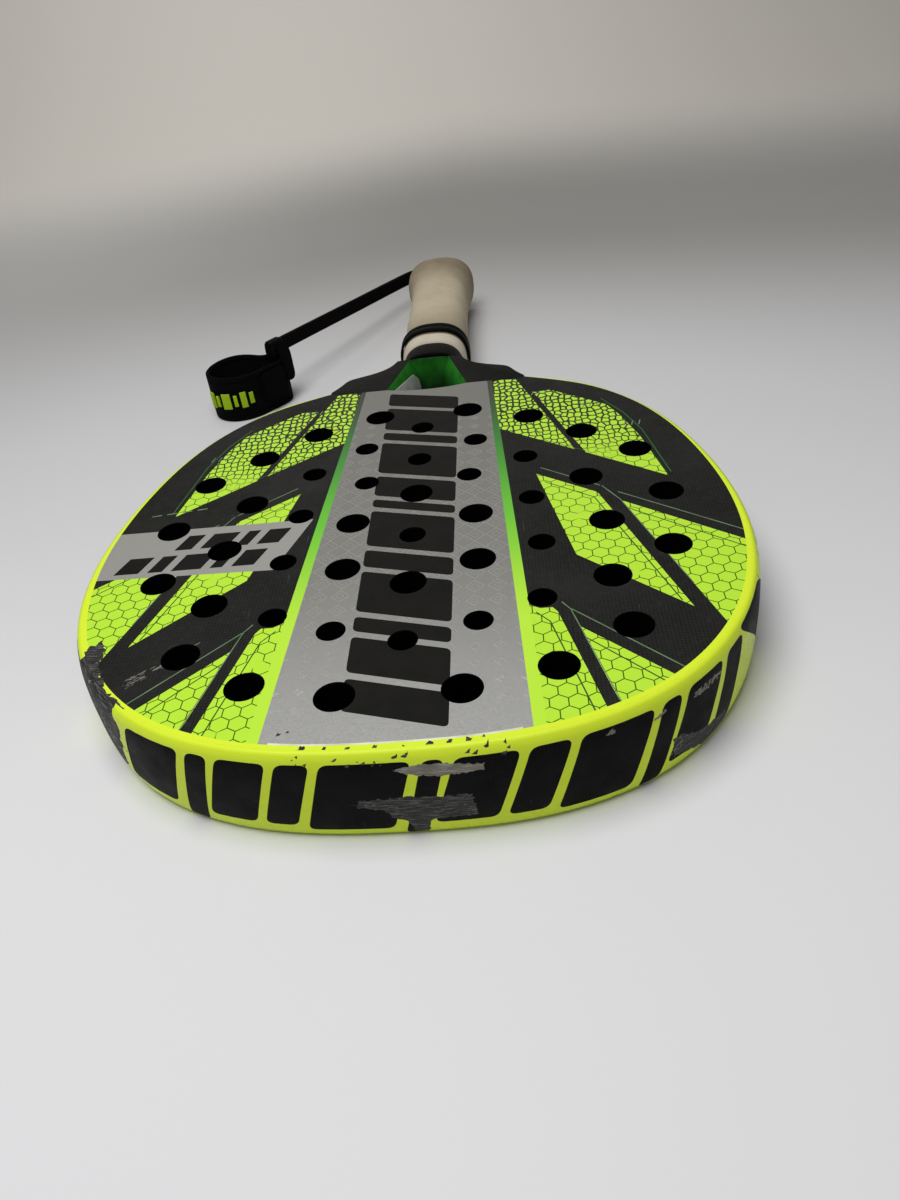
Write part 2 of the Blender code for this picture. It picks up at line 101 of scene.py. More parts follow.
OVERGRIP = [(98.3, 18.4, 17.0), (99.5, 18.6, 17.2), (138.0, 18.5, 17.2), (160.0, 18.1, 17.0),
            (180.0, 17.9, 16.9), (196.0, 18.9, 17.4), (210.0, 20.9, 18.3), (219.0, 22.2, 18.9),
            (224.0, 22.1, 18.9)]
OVERGRIP_START = 98.3
OVERGRIP_INSIDE = [(226.0, 19.6, 16.6), (223.1, 20.7, 17.3), (218.0, 20.6, 17.3), (206.0, 18.3, 16.3),
                   (180.0, 16.5, 15.5), (140.0, 16.9, 15.8), (OVERGRIP_START, 17.2, 15.9)]
BUTT_Y = 227.5
BUTT_ROUND = 3.5
BUTT_HOLE = (8.4, 7.6)
WRAP_PITCH = 19.0
WRAP_STEP = 0.55
RING_Y = 103.4
RING_PROFILE = [(-5.1, -0.9), (-4.7, -0.25), (-3.9, 0.0), (-1.2, 0.0), (-0.6, -0.22),
                (0.6, -0.22), (1.2, 0.0), (3.9, 0.0), (4.7, -0.25), (5.1, -0.9)]
RING_OUTER = (20.3, 18.95)
RING_INNER = (18.95, 17.6)

# Wrist strap, slider and wristband.
STRAP_WIDTH = 8.0
STRAP_THICKNESS = 3.0
STRAP_ROUTE = [(0.0, 206.2, 19.0), (0.0, 221.0, 19.0), (-0.2, 232.0, 19.0), (-2.6, 243.0, 19.1),
               (-9.8, 249.6, 19.2), (-18.2, 248.6, 19.5), (-26.0, 239.5, 20.3),
               (-47.5, 198.8, 24.1), (-68.9, 158.2, 27.9), (-93.9, 110.8, 32.3),
               (-97.5, 104.0, 32.9)]
STRAP_TAIL = [(-95.0, 108.6, 33.4), (-92.0, 109.0, 33.2), (-89.6, 108.4, 30.6), (-88.7, 107.4, 26.0),
              (-88.5, 106.8, 19.0), (-88.4, 106.4, 13.0)]
STRAP_POINTS = 120
SLIDER_START = 0.5
SLIDER_HALF = (3.4, 4.9)
SLIDER_LENGTH = 11.0
BAND_LOOP = [(-134.2, 99.0), (-130.0, 88.0), (-119.0, 83.2), (-107.5, 87.0), (-98.0, 96.5),
             (-91.2, 107.0), (-94.6, 114.6), (-103.0, 112.4), (-111.0, 115.2), (-121.0, 116.6),
             (-130.0, 110.4)]
BAND_HEIGHT = 27.0
BAND_THICKNESS = 2.6
BAND_EDGE_WAY = (0.42, 0.90, 0.0)
TAB_ROUTE = [(-90.4, 101.6), (-95.7, 94.2), (-101.2, 88.2)]
TAB_THICKNESS = 2.0
TAB_Z = (7.0, 25.0)
LABEL_ROUTE = [(-132.6, 86.9), (-128.6, 83.1), (-119.0, 80.4), (-109.6, 82.8), (-106.3, 85.2)]
LABEL_THICKNESS = 0.8
LABEL_Z = (9.0, 18.5)
LABEL_DASHES = ((1, 9), (12, 17), (20, 31), (34, 39), (42, 50), (53, 59))

# Artwork. Bars are lengths along the stripe, and (length, low end) along the rim.
BORDER_REACH = 300.0
GLINT_REACH = 43.0
STRIPE_BARS = (13.0, 22.0, 7.0, 27.0, 16.0, 6.0, 25.0, 11.0, 24.0, 8.0, 18.0, 15.0)
PATCH_ROWS = ((-108.5, -98.5, -97.0, (7.0, 11.0, 5.0, 9.0)),
              (-122.8, -112.2, -118.0, (10.0, 6.0, 12.0, 5.0, 9.0)))
TIP_CHIPS = ((-36.0, -215.5, 0.9), (-33.2, -214.6, 0.6), (-28.0, -222.0, 1.3), (-21.0, -222.4, 0.7),
             (-14.0, -223.4, 1.2), (-5.5, -223.0, 0.8), (3.0, -223.6, 0.8), (11.0, -223.2, 1.4),
             (17.0, -222.6, 1.0), (22.5, -222.6, 1.3), (27.0, -221.4, 0.7), (-60.0, -217.0, 0.9))
RIM_BARS_START = -104.0
RIM_BARS = ((24.0, 6.6), (8.0, 0.6), (17.0, 6.8), (11.0, 6.8), (28.0, 4.6), (7.0, 0.6), (20.0, 6.6),
            (13.0, 6.6), (25.0, 4.6), (8.0, 0.6), (18.0, 6.6), (12.0, 2.0))
CHIP_SPOTS = ((-126.0, -101.0, 4.0, 37.0, 40), (96.0, 111.0, 28.8, 30.8, 48), (64.0, 66.5, 31.5, 32.8, 10),
              (81.0, 84.0, 29.8, 31.2, 12), (88.0, 92.0, 8.0, 17.0, 8), (-118.0, -104.0, 14.0, 30.0, 22),
              (-40.0, 40.0, 33.5, 37.6, 22))


# ---------------------------------------------------------------- curves
def natural_spline(points, count, closed=False):
    """Evenly parameterised cubic spline through points, as an array of count positions."""
    knots = np.array(points, dtype=float)
    if closed:
        turns = 3
        knots = np.vstack([knots] * turns + [knots[:1]])
    steps = np.linalg.norm(np.diff(knots, axis=0), axis=1)
    at = np.concatenate([[0.0], np.cumsum(steps)])
    size = len(knots)
    matrix = np.eye(size)
    right = np.zeros_like(knots)
    for i in range(1, size - 1):
        matrix[i, i - 1] = steps[i - 1]
        matrix[i, i] = 2 * (steps[i - 1] + steps[i])
        matrix[i, i + 1] = steps[i]
        ahead = (knots[i + 1] - knots[i]) / steps[i]
        behind = (knots[i] - knots[i - 1]) / steps[i - 1]
        right[i] = 6 * (ahead - behind)
    bend = np.linalg.solve(matrix, right)
    if closed:
        lap = at[-1] / turns
        wanted = lap + np.linspace(0, lap, count, endpoint=False)
    else:
        wanted = np.linspace(0, at[-1], count)
    result = []
    for value in wanted:
        i = min(max(int(np.searchsorted(at, value)) - 1, 0), size - 2)
        span = steps[i]
        a = (at[i + 1] - value) / span
        b = 1 - a
        curve = ((a ** 3 - a) * bend[i] + (b ** 3 - b) * bend[i + 1]) * span * span / 6
        result.append(a * knots[i] + b * knots[i + 1] + curve)
    return np.array(result)


def unit(rows):
    return rows / np.linalg.norm(rows, axis=1)[:, None]


def left_normals(points, closed=False):
    """Unit normals on the left of the way of travel."""
    if closed:
        along = np.roll(points, -1, axis=0) - np.roll(points, 1, axis=0)
    else:
        along = np.gradient(points, axis=0)
    along = unit(along)
    return np.stack([-along[:, 1], along[:, 0]], axis=1)


def run_lengths(points):
    """Distance along a line at each of its points."""
    return np.concatenate([[0.0], np.cumsum(np.linalg.norm(np.diff(points, axis=0), axis=1))])


HEAD_LINE = natural_spline([(-x, y) for x, y in reversed(HEAD_EDGE[1:])] + HEAD_EDGE, HEAD_STATIONS)
HEAD_INWARD = left_normals(HEAD_LINE)
HEAD_RUN = run_lengths(HEAD_LINE) - run_lengths(HEAD_LINE)[HEAD_STATIONS // 2]


def rim_inset(z, depth):
    """How far the rounded side wall stands in from its widest line at height z."""
    reach = min(1.0, abs(2 * z / THICKNESS - 1))
    return depth * (1 - (1 - reach ** RIM_POWER) ** (1 / RIM_POWER))


def line_polygon(points, width):
    """Outline of a line of some width, as a closed polygon."""
    points = np.array(points, dtype=float)
    side = left_normals(points) * (width / 2)
    return [tuple(p) for p in points + side] + [tuple(p) for p in (points - side)[::-1]]


def rounded(points, radius, steps=5):
    """A polygon with its corners rounded off."""
    result = []
    for i, point in enumerate(points):
        corner = Vector(point)
        before = Vector(points[i - 1]) - corner
        after = Vector(points[(i + 1) % len(points)]) - corner
        reach = min(radius, before.length * 0.48, after.length * 0.48)
        start = corner + before.normalized() * reach
        end = corner + after.normalized() * reach
        for k in range(steps + 1):
            t = k / steps
            result.append(tuple(start * (1 - t) ** 2 + corner * 2 * t * (1 - t) + end * t ** 2))
    return result


def ragged(points, seed, step=0.9, size=0.45):
    """A polygon with a torn edge."""
    chance = random.Random(seed)
    result = []
    for i, point in enumerate(points):
        a = Vector(point)
        b = Vector(points[(i + 1) % len(points)])
        pieces = max(1, round((b - a).length / step))
        for k in range(pieces):
            x, y = a.lerp(b, k / pieces)
            result.append((x + chance.uniform(-size, size), y + chance.uniform(-size, size)))
    return result


def mirrored(points):
    return [(-x, y) for x, y in reversed(points)]


def inside(points, polygon):
    """Which points lie inside a polygon."""
    x, y = points[:, 0], points[:, 1]
    odd = np.zeros(len(points), dtype=bool)
    for (ax, ay), (bx, by) in zip(polygon, polygon[1:] + polygon[:1]):
        if ay != by:
            crosses = (ay > y) != (by > y)
            odd ^= crosses & (x < (bx - ax) * (y - ay) / (by - ay) + ax)
    return odd


def triangulate(loops, lines=()):
    """Triangles of the plane, cut along closed loops and open lines, all turning left."""
    points, edges = [], []
    for line, closed in [(loop, True) for loop in loops] + [(line, False) for line in lines]:
        first, count = len(points), len(line)
        points += [Vector(p) for p in line]
        last = count if closed else count - 1
        edges += [(first + k, first + (k + 1) % count) for k in range(last)]
    flat, _, found, *_ = delaunay_2d_cdt(points, edges, [], 0, 1e-4)
    flat = np.array([tuple(p) for p in flat])
    found = np.array([tuple(t) for t in found])
    a, b, c = (flat[found[:, k]] for k in range(3))
    area = (b[:, 0] - a[:, 0]) * (c[:, 1] - a[:, 1]) - (b[:, 1] - a[:, 1]) * (c[:, 0] - a[:, 0])
    found[area < 0] = found[area < 0][:, ::-1]
    return flat, found[abs(area) > 1e-7]


def painted(centres, art, base):
    """Material name of each triangle: the last shape in art that holds its centre."""
    names = np.full(len(centres), base, dtype=object)
    for name, polygon in art:
        names[inside(centres, polygon)] = name
    return list(names)


# ---------------------------------------------------------------- meshes
def place(name, data):
    """A new object in the scene that holds a mesh, a camera or a light."""
    made = bpy.data.objects.new(name, data)
    bpy.context.scene.collection.objects.link(made)
    return made


def add_piece(name, vertices, faces, looks, face_looks=None, uv=None, normals=None, angle=35):
    """One visible piece from millimetre coordinates. uv and normals are given per vertex."""
    used = sorted({corner for face in faces for corner in face})
    new_number = {old: new for new, old in enumerate(used)}
    faces = [tuple(new_number[corner] for corner in face) for face in faces]
    mesh = bpy.data.meshes.new(name)
    mesh.from_pydata([Vector(vertices[old]) * MM for old in used], [], faces)
    for look in looks:
        mesh.materials.append(LOOKS[look])
    if face_looks is not None:
        mesh.polygons.foreach_set("material_index", [looks.index(look) for look in face_looks])
    if uv is not None:
        layer = mesh.uv_layers.new(name="UVMap")
        corners = [used[corner] for face in faces for corner in face]
        layer.data.foreach_set("uv", (np.array(uv, dtype=float)[corners] * MM).ravel())
    mesh.shade_smooth()
    if normals is not None:
        mesh.normals_split_custom_set_from_vertices([Vector(normals[old]) for old in used])
    else:
        mesh.set_sharp_from_angle(angle=math.radians(angle))
    return place(name, mesh)


def finish_piece(piece, body, slot, *nodes):
    """Ride on a body and stand for CAD nodes; slot is not used."""
    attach(piece, body)
    if nodes:
        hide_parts(*nodes)
    return piece


def signed_volume(vertices, faces):
    points = np.array(vertices, dtype=float)
    total = 0.0
    for face in faces:
        for i in range(1, len(face) - 1):
            total += points[face[0]] @ np.cross(points[face[i]], points[face[i + 1]])
    return total


def add_loft(name, rings, looks, ends="capped", paint=None, uv=None, angle=35):
    """Skin a row of equal rings. Ends are capped, or joined to each other.

    paint gives a face's look from its ring and its place in the ring; the first cap is ring -1.
    """
    size, count = len(rings[0]), len(rings)
    paint = paint or (lambda ring, place_in_ring: looks[0])
    vertices = [tuple(p) for ring in rings for p in ring]
    faces, face_looks = [], []
    for i in range(count if ends == "joined" else count - 1):
        here, there = i * size, (i + 1) % count * size
        for k in range(size):
            after = (k + 1) % size
            faces.append((here + k, here + after, there + after, there + k))
            face_looks.append(paint(i, k))
    if ends == "capped":
        faces.append(tuple(reversed(range(size))))
        faces.append(tuple(range((count - 1) * size, count * size)))
        face_looks += [paint(-1, 0), looks[0]]
    if signed_volume(vertices, faces) < 0:
        faces = [tuple(reversed(face)) for face in faces]
    return add_piece(name, vertices, faces, looks, face_looks, uv=uv, angle=angle)


def add_plate(name, outline, holes, art, base, looks, z_face, z_under, hole_look=None):
    """Flat plate with round holes and painted shapes. z_face is its painted side."""
    up = 1 if z_face > z_under else -1
    bevel = HOLE_BEVEL if hole_look else 0.0
    turns = [2 * math.pi * k / HOLE_SIDES for k in range(HOLE_SIDES)]
    loops = [outline]
    for x, y, r in holes:
        loops.append([(x + (r + bevel) * math.cos(a), y + (r + bevel) * math.sin(a)) for a in turns])
    flat, triangles = triangulate(loops + [shape for _, shape in art])
    centres = flat[triangles].mean(axis=1)
    keep = inside(centres, outline)
    pulled = flat.copy()
    for x, y, r in holes:
        wide = r + bevel
        keep &= np.hypot(*(centres - (x, y)).T) > wide * math.cos(math.pi / HOLE_SIDES)
        near = abs(np.hypot(*(flat - (x, y)).T) - wide) < 0.02
        pulled[near] = (x, y) + (flat[near] - (x, y)) * r / wide
    triangles = triangles[keep]

    layers = [(flat, z_face), (pulled, z_face - up * max(bevel, 0.05)), (pulled, z_under)]
    vertices = [(x, y, z) for points, z in layers for x, y in points]
    count = len(flat)
    faces = [tuple(t) for t in triangles]
    face_looks = painted(centres[keep], art, base)
    sides = {side for a, b, c in faces for side in ((a, b), (b, c), (c, a))}
    faces += [(c + 2 * count, b + 2 * count, a + 2 * count) for a, b, c in triangles]
    face_looks += [looks[0]] * len(triangles)
    for a, b in sorted(sides):
        if (b, a) not in sides:
            for level in (0, count):
                faces.append((b + level, a + level, a + level + count, b + level + count))
                face_looks.append(hole_look or looks[0])
    if up < 0:
        faces = [tuple(reversed(face)) for face in faces]
    uv = [(x, y) for x, y, _ in vertices]
    return add_piece(name, vertices, faces, looks, face_looks, uv=uv, angle=30)


def zipped(low, high):
    """Triangles between two rows of (position along, vertex), both in order."""
    faces = []
    i = k = 0
    while i < len(low) - 1 or k < len(high) - 1:
        if k == len(high) - 1 or (i < len(low) - 1 and low[i + 1][0] <= high[k + 1][0]):
            faces.append((low[i][1], low[i + 1][1], high[k][1]))
            i += 1
        else:
            faces.append((low[i][1], high[k + 1][1], high[k][1]))
            k += 1
    return faces


def oval(y, half_width, half_height, power=2.5, sides=96, bulge=None):
    """One oval section of the handle, standing across the Y axis at mid height."""
    ring = []
    for k in range(sides):
        angle = 2 * math.pi * k / sides
        across, up = (math.copysign(abs(a) ** (2 / power), a) for a in (math.cos(angle), math.sin(angle)))
        more = bulge(angle, y) if bulge else 0.0
        ring.append(((half_width + more) * across, y, MID_Z + (half_height + more) * up))
    return ring


def between(stations, y):
    """Half width and height of a handle at y, from its stations."""
    ys, widths, heights = zip(*stations)
    return np.interp(y, ys, widths), np.interp(y, ys, heights)


# ---------------------------------------------------------------- materials
def srgb(*eight_bit):
    """Linear colour of an 8-bit screen colour."""
    shares = [value / 255 for value in eight_bit]
    linear = [s / 12.92 if s <= 0.04045 else ((s + 0.055) / 1.055) ** 2.4 for s in shares]
    return (*linear, 1.0)


def scaled(colour, factor):
    return (*(factor * c for c in colour[:3]), 1.0)


class Value:
    """A number in a material's node tree; sums with it add Math nodes."""

    def __init__(self, look, socket):
        self.look, self.socket = look, socket

    def __add__(self, other):
        return self.look.calc("ADD", self, other)

    def __sub__(self, other):
        return self.look.calc("SUBTRACT", self, other)

    def __rsub__(self, other):
        return self.look.calc("SUBTRACT", other, self)

    def __mul__(self, other):
        return self.look.calc("MULTIPLY", self, other)

    def __abs__(self):
        return self.look.calc("ABSOLUTE", self)

    def wrap(self, pitch):
        return self.look.calc("WRAP", self, pitch / 2, -pitch / 2)

    def wave(self, pitch):
        """Sine of a length, from -1 to 1, with the given pitch."""
        return self.look.calc("SINE", self * (2 * math.pi / pitch))

    def rise(self, low, high):
        """0 below low and 1 above high, smooth between."""
        inputs = {"Value": self, "From Min": low, "From Max": high}
        return self.look.number("MapRange", inputs, interpolation_type="SMOOTHSTEP")

    def fall(self, low, high):
        return 1.0 - self.rise(low, high)


class Look:
    """One material's node tree, built with short calls. Positions are in millimetres."""

    def __init__(self, name, colour, roughness, shine=0.5, on_uv=False, **sockets):
        self.material = bpy.data.materials.new(name)
        self.material.use_nodes = True
        self.tree = self.material.node_tree
        self.shader = self.tree.nodes["Principled BSDF"]
        self.relief = None
        self.set("Base Color", colour)
        self.set("Roughness", roughness)
        self.set("Specular IOR Level", shine)
        for socket, value in sockets.items():
            self.set(socket.replace("_", " "), value)
        self.point = self.node("UVMap").outputs[0] if on_uv else self.node("TexCoord").outputs["Object"]
        self.point = self.stretched(1000.0, 1000.0, 1000.0)
        split = self.node("SeparateXYZ", {0: self.point})
        self.x, self.y, self.z = (Value(self, socket) for socket in split.outputs)

    def node(self, kind, inputs=None, **settings):
        made = self.tree.nodes.new("ShaderNode" + kind)
        for name, value in settings.items():
            setattr(made, name, value)
        for socket, value in (inputs or {}).items():
            self.feed(made.inputs[socket], value)
        return made

    def feed(self, socket, value):
        value = getattr(value, "socket", value)
        if isinstance(value, bpy.types.NodeSocket):
            self.tree.links.new(value, socket)
        else:
            socket.default_value = value

    def set(self, socket, value):
        self.feed(self.shader.inputs[socket], value)

    def number(self, kind, inputs, **settings):
        return Value(self, self.node(kind, inputs, **settings).outputs[0])

    def calc(self, operation, *values):
        return self.number("Math", dict(enumerate(values)), operation=operation)

    def mix(self, share, first, second):
        return self.node("Mix", {0: share, 6: first, 7: second}, data_type="RGBA").outputs[2]

    def stretched(self, *factors):
        return self.node("VectorMath", {0: self.point, 1: factors}, operation="MULTIPLY").outputs[0]

    def noise(self, size, detail=3.0, rough=0.55, vector=None):
        """Noise from 0 to 1 with features of about size millimetres."""
        return self.number("TexNoise", {"Vector": vector or self.point, "Scale": 1 / size,
                                        "Detail": detail, "Roughness": rough})

    def hexagon_sides(self, width):
        """Distance to the nearest side of a hexagon grid with sides along Y."""
        tall = width * math.sqrt(3)
        found = []
        for shift in (0.0, 0.5):
            x = abs((self.x + width * shift).wrap(width))
            y = abs((self.y + tall * shift).wrap(tall))
            found.append(self.calc("MAXIMUM", x, x * 0.5 + y * (math.sqrt(3) / 2)))
        return width / 2 - self.calc("MINIMUM", *found)

    def speckled(self, base, spot, size, level):
        """Base colour with small spots where a noise is above level."""
        return self.mix(self.noise(size, 2.0).rise(level, level + 0.03), base, spot)

    def bump(self, height, distance):
        """Relief; a height of 1 stands distance millimetres proud."""
        inputs = {"Height": height, "Distance": distance * MM, "Strength": 1.0}
        if self.relief:
            inputs["Normal"] = self.relief
        self.relief = self.node("Bump", inputs).outputs[0]
        self.set("Normal", self.relief)

    def done(self, tone, *reliefs, rough=None):
        """The material with its final colour, roughness and (height, distance) reliefs."""
        self.set("Base Color", tone)
        if rough:
            self.set("Roughness", rough)
        for height, distance in reliefs:
            self.bump(height, distance)
        return self.material


LIME = srgb(194, 243, 60)
LIME_WALL = srgb(226, 249, 58)
LIME_DARK = srgb(44, 84, 10)
SCALE_DARK = srgb(26, 40, 6)
BLACK = srgb(24, 24, 23)
WALL_BLACK = srgb(7, 7, 8)
SILVER = srgb(150, 150, 148)
HEXAGON_WIDTH = 5.9
SCALE_WIDTH = 3.1
DIAMOND_PITCH = 8.2
WEAVE_PITCH = 2.6


def make_lime(name, base, pattern=None, shine=0.35):
    """Lime paint, with thin hexagon lines or with the scales they turn into at the throat."""
    look = Look(name, base, 0.42, shine)
    tone = look.mix(look.noise(60.0, 2.0), base, scaled(base, 0.93))
    if pattern:
        breaks = look.noise(16.0, 1.0).rise(0.28, 0.34)
        lines = look.hexagon_sides(HEXAGON_WIDTH).fall(0.13, 0.26) * breaks
        if pattern == "scales":
            upper = look.y.rise(-66.0, -50.0)
            gaps = look.number("TexVoronoi", {"Vector": look.stretched(1.0, 0.8, 1.0),
                                              "Scale": 1 / SCALE_WIDTH,
                                              "Randomness": 0.62}, feature="DISTANCE_TO_EDGE")
            gaps = gaps - look.y.rise(-80.0, 10.0) * 0.20 * look.noise(2.0, 1.0)
            scales = gaps.fall(0.02, 0.10) * upper
            tone = look.mix(scales, tone, SCALE_DARK)
            look.bump(scales, -0.04)
            lines = lines * (1.0 - upper)
        tone = look.mix(lines, tone, LIME_DARK)
    return look.done(look.speckled(tone, srgb(60, 66, 30), 3.2, 0.80), (look.noise(0.8, 2.0), 0.012),
                     rough=look.noise(8.0, 4.0).rise(-0.6, 2.4))


def make_band():
    """Stripe beside the silver that turns from black through green to lime."""
    look = Look("stripe_fade", LIME, 0.32, Coat_Weight=0.3, Coat_Roughness=0.15)
    tone = LIME
    for low, high, colour in ((-175.0, -95.0, (110, 205, 45)), (-115.0, -35.0, (44, 140, 36)),
                              (-55.0, 6.0, (24, 60, 22)), (0.0, 24.0, (20, 26, 18))):
        tone = look.mix(look.y.rise(low, high), tone, srgb(*colour))
    return look.done(look.speckled(tone, srgb(40, 50, 20), 3.0, 0.8), (look.noise(0.9, 2.0), 0.01))


def make_carbon(name, base, shine, on_uv=False):
    """Satin black over a carbon weave, with fine scratches."""
    look = Look(name, base, 0.42, shine, on_uv)
    weave = (look.x + look.y).wave(WEAVE_PITCH) * (look.x - look.y).wave(WEAVE_PITCH)
    tone = look.mix(weave.rise(-0.4, 0.6), scaled(base, 0.7), scaled(base, 1.8))
    tone = look.mix(look.noise(40.0, 2.0).rise(0.3, 0.9), tone, scaled(base, 2.2))
    tone = look.mix(look.noise(2.2, 4.0, 0.65).rise(0.45, 0.75) * 0.6, tone, scaled(base, 2.6))
    along = look.noise(1.0, 2.0, 0.5, look.stretched(1.6, 0.05, 1.0)).rise(0.735, 0.77)
    across = look.noise(1.0, 2.0, 0.5, look.stretched(0.05, 1.4, 1.0)).rise(0.745, 0.78)
    scratches = look.calc("MAXIMUM", along, across) * 0.35
    return look.done(look.mix(scratches, tone, srgb(105, 104, 100)), (weave, 0.02),
                     (look.noise(0.7, 2.0), 0.012), rough=look.noise(12.0, 4.0).rise(-1.1, 1.9))


def make_silver(name, diamonds):
    """Satin silver paint, painted brighter towards the tip and darker towards the throat as painted light and
    shade; with diamonds it carries embossed rings fading to both ends.
    """
    look = Look(name, SILVER, 0.36, Metallic=0.5)
    grain = look.noise(0.35, 1.0)
    tone = look.mix(grain.rise(0.2, 0.8), srgb(152, 152, 148), srgb(168, 168, 164))
    # Painted light: a painted highlight towards the tip, then painted shade towards the throat.
    tone = look.mix(look.y.fall(-225.0, -120.0), tone, srgb(190, 190, 187))
    tone = look.mix(look.y.rise(-210.0, 20.0), tone, srgb(142, 141, 137))
    if diamonds:
        across = abs(look.x.wrap(DIAMOND_PITCH)) + abs(look.y.wrap(DIAMOND_PITCH))
        from_middle = abs(look.y + 102.0)
        size = 3.9 - from_middle.rise(20.0, 110.0) * 2.6
        outer = abs(across - size).fall(0.15, 0.42)
        inner = abs(across - size * 0.45).fall(0.1, 0.34)
        lines = look.calc("MAXIMUM", outer, inner) * from_middle.fall(80.0, 114.0)
        tone = look.mix(lines * 0.45, tone, srgb(208, 208, 205))
        look.bump(lines, 0.12)
    else:
        tone = look.mix(0.45, tone, srgb(214, 212, 207))
    return look.done(look.speckled(tone, srgb(60, 60, 58), 2.2, 0.82), (grain, 0.008),
                     rough=look.noise(0.6, 2.0).rise(-0.9, 2.4))


def make_bare(name, dark, pale, streak):
    """Torn paint with the fibre layer showing."""
    look = Look(name, dark, 0.7, on_uv=True)
    fibres = look.noise(1.0, 5.0, 0.65, look.stretched(0.16, 2.0, 1.0))
    lumps = look.noise(1.3, 4.0, 0.7)
    tone = look.mix(fibres.rise(0.48, 0.64), dark, pale)
    tone = look.mix(lumps.rise(0.58, 0.72) * streak, tone, srgb(160, 158, 152))
    return look.done(tone, (fibres, 0.5), (lumps, 0.3))


def make_plain(name, first, second, roughness, grain, relief, shine=0.5, **sockets):
    """Moulded plastic, rubber, foam or print: two close tones and a fine grain."""
    look = Look(name, srgb(*first), roughness, shine, **sockets)
    tone = look.mix(look.noise(grain * 12, 3.0).rise(0.3, 0.75), srgb(*first), srgb(*second))
    return look.done(tone, (look.noise(grain, 3.0), relief))


def make_green():
    """Throat wall: gloss green with painted shade, dark in the middle of its depth and brighter towards the
    two faces.
    """
    look = Look("throat_green", srgb(30, 110, 30), 0.3, 0.4)
    # Painted shade: the green darkens towards the middle of the wall's depth, where little light reaches.
    tone = look.mix(abs(look.z - MID_Z).rise(3.0, 17.0), srgb(8, 48, 8), srgb(46, 134, 40))
    tone = look.mix(look.noise(9.0, 3.0).rise(0.35, 0.8), tone, srgb(24, 84, 24))
    return look.done(tone, (look.noise(1.2, 2.0), 0.02))


def make_grip(name, base, dirt, amount):
    """Tacky grip tape: fine felt grain, and hand dirt that is worst near both ends."""
    look = Look(name, base, 0.85, 0.3)
    ends = look.y.rise(165.0, 228.0) + look.y.fall(92.0, 150.0)
    soil = look.noise(45.0, 4.0, 0.6).rise(0.36, 0.78) * 0.35 + ends * 0.8
    tone = look.mix(soil * amount, base, dirt)
    tone = look.mix(look.noise(7.0, 4.0).rise(0.45, 0.9) * 0.2, tone, dirt)
    return look.done(tone, (look.noise(0.5, 2.0), 0.05), (look.noise(3.5, 3.0), 0.16))


def make_webbing(name, base, rib, relief=0.22):
    """Woven webbing with ribs along its length, laid out on the piece's own length and width."""
    look = Look(name, srgb(*base), 0.7, 0.04, on_uv=True)
    weave = look.x.wave(1.5) * look.y.wave(1.1)
    tone = look.mix(weave.rise(-0.5, 0.8), srgb(*base), srgb(*rib))
    lint = look.noise(1.2, 4.0).rise(0.70, 0.78)
    tone = look.mix(lint * 0.12, tone, srgb(92, 92, 92))
    return look.done(tone, (weave, relief), (look.noise(0.4, 2.0), 0.05))


def make_floor():
    """Pale paper, painted darker towards the back as painted shade, with a soft shaded band painted across
    the sweep behind the racket.
    """
    look = Look("floor_paper", srgb(228, 228, 230), 0.75)
    tone = look.mix(look.noise(400.0, 2.0), srgb(226, 226, 229), srgb(230, 230, 232))
    # Painted shade: the paper darkens towards the back, where the lamp's light falls off.
    tone = look.mix(look.y.rise(-250.0, 120.0), tone, srgb(213, 213, 215))
    tone = look.mix(look.y.rise(150.0, 900.0), tone, srgb(226, 222, 214))
    slanted = look.y + abs(look.x) * 0.2
    shade = slanted.rise(90.0, 420.0) * slanted.fall(500.0, 900.0)
    left = look.x.rise(-450.0, 0.0) * 0.45 + 0.55
    right = 1.0 - look.x.rise(0.0, 400.0) * 0.15
    tone = look.mix(shade * (left * right), tone, srgb(152, 150, 146))
    return look.done(tone, (look.noise(1.6, 3.0), 0.02))


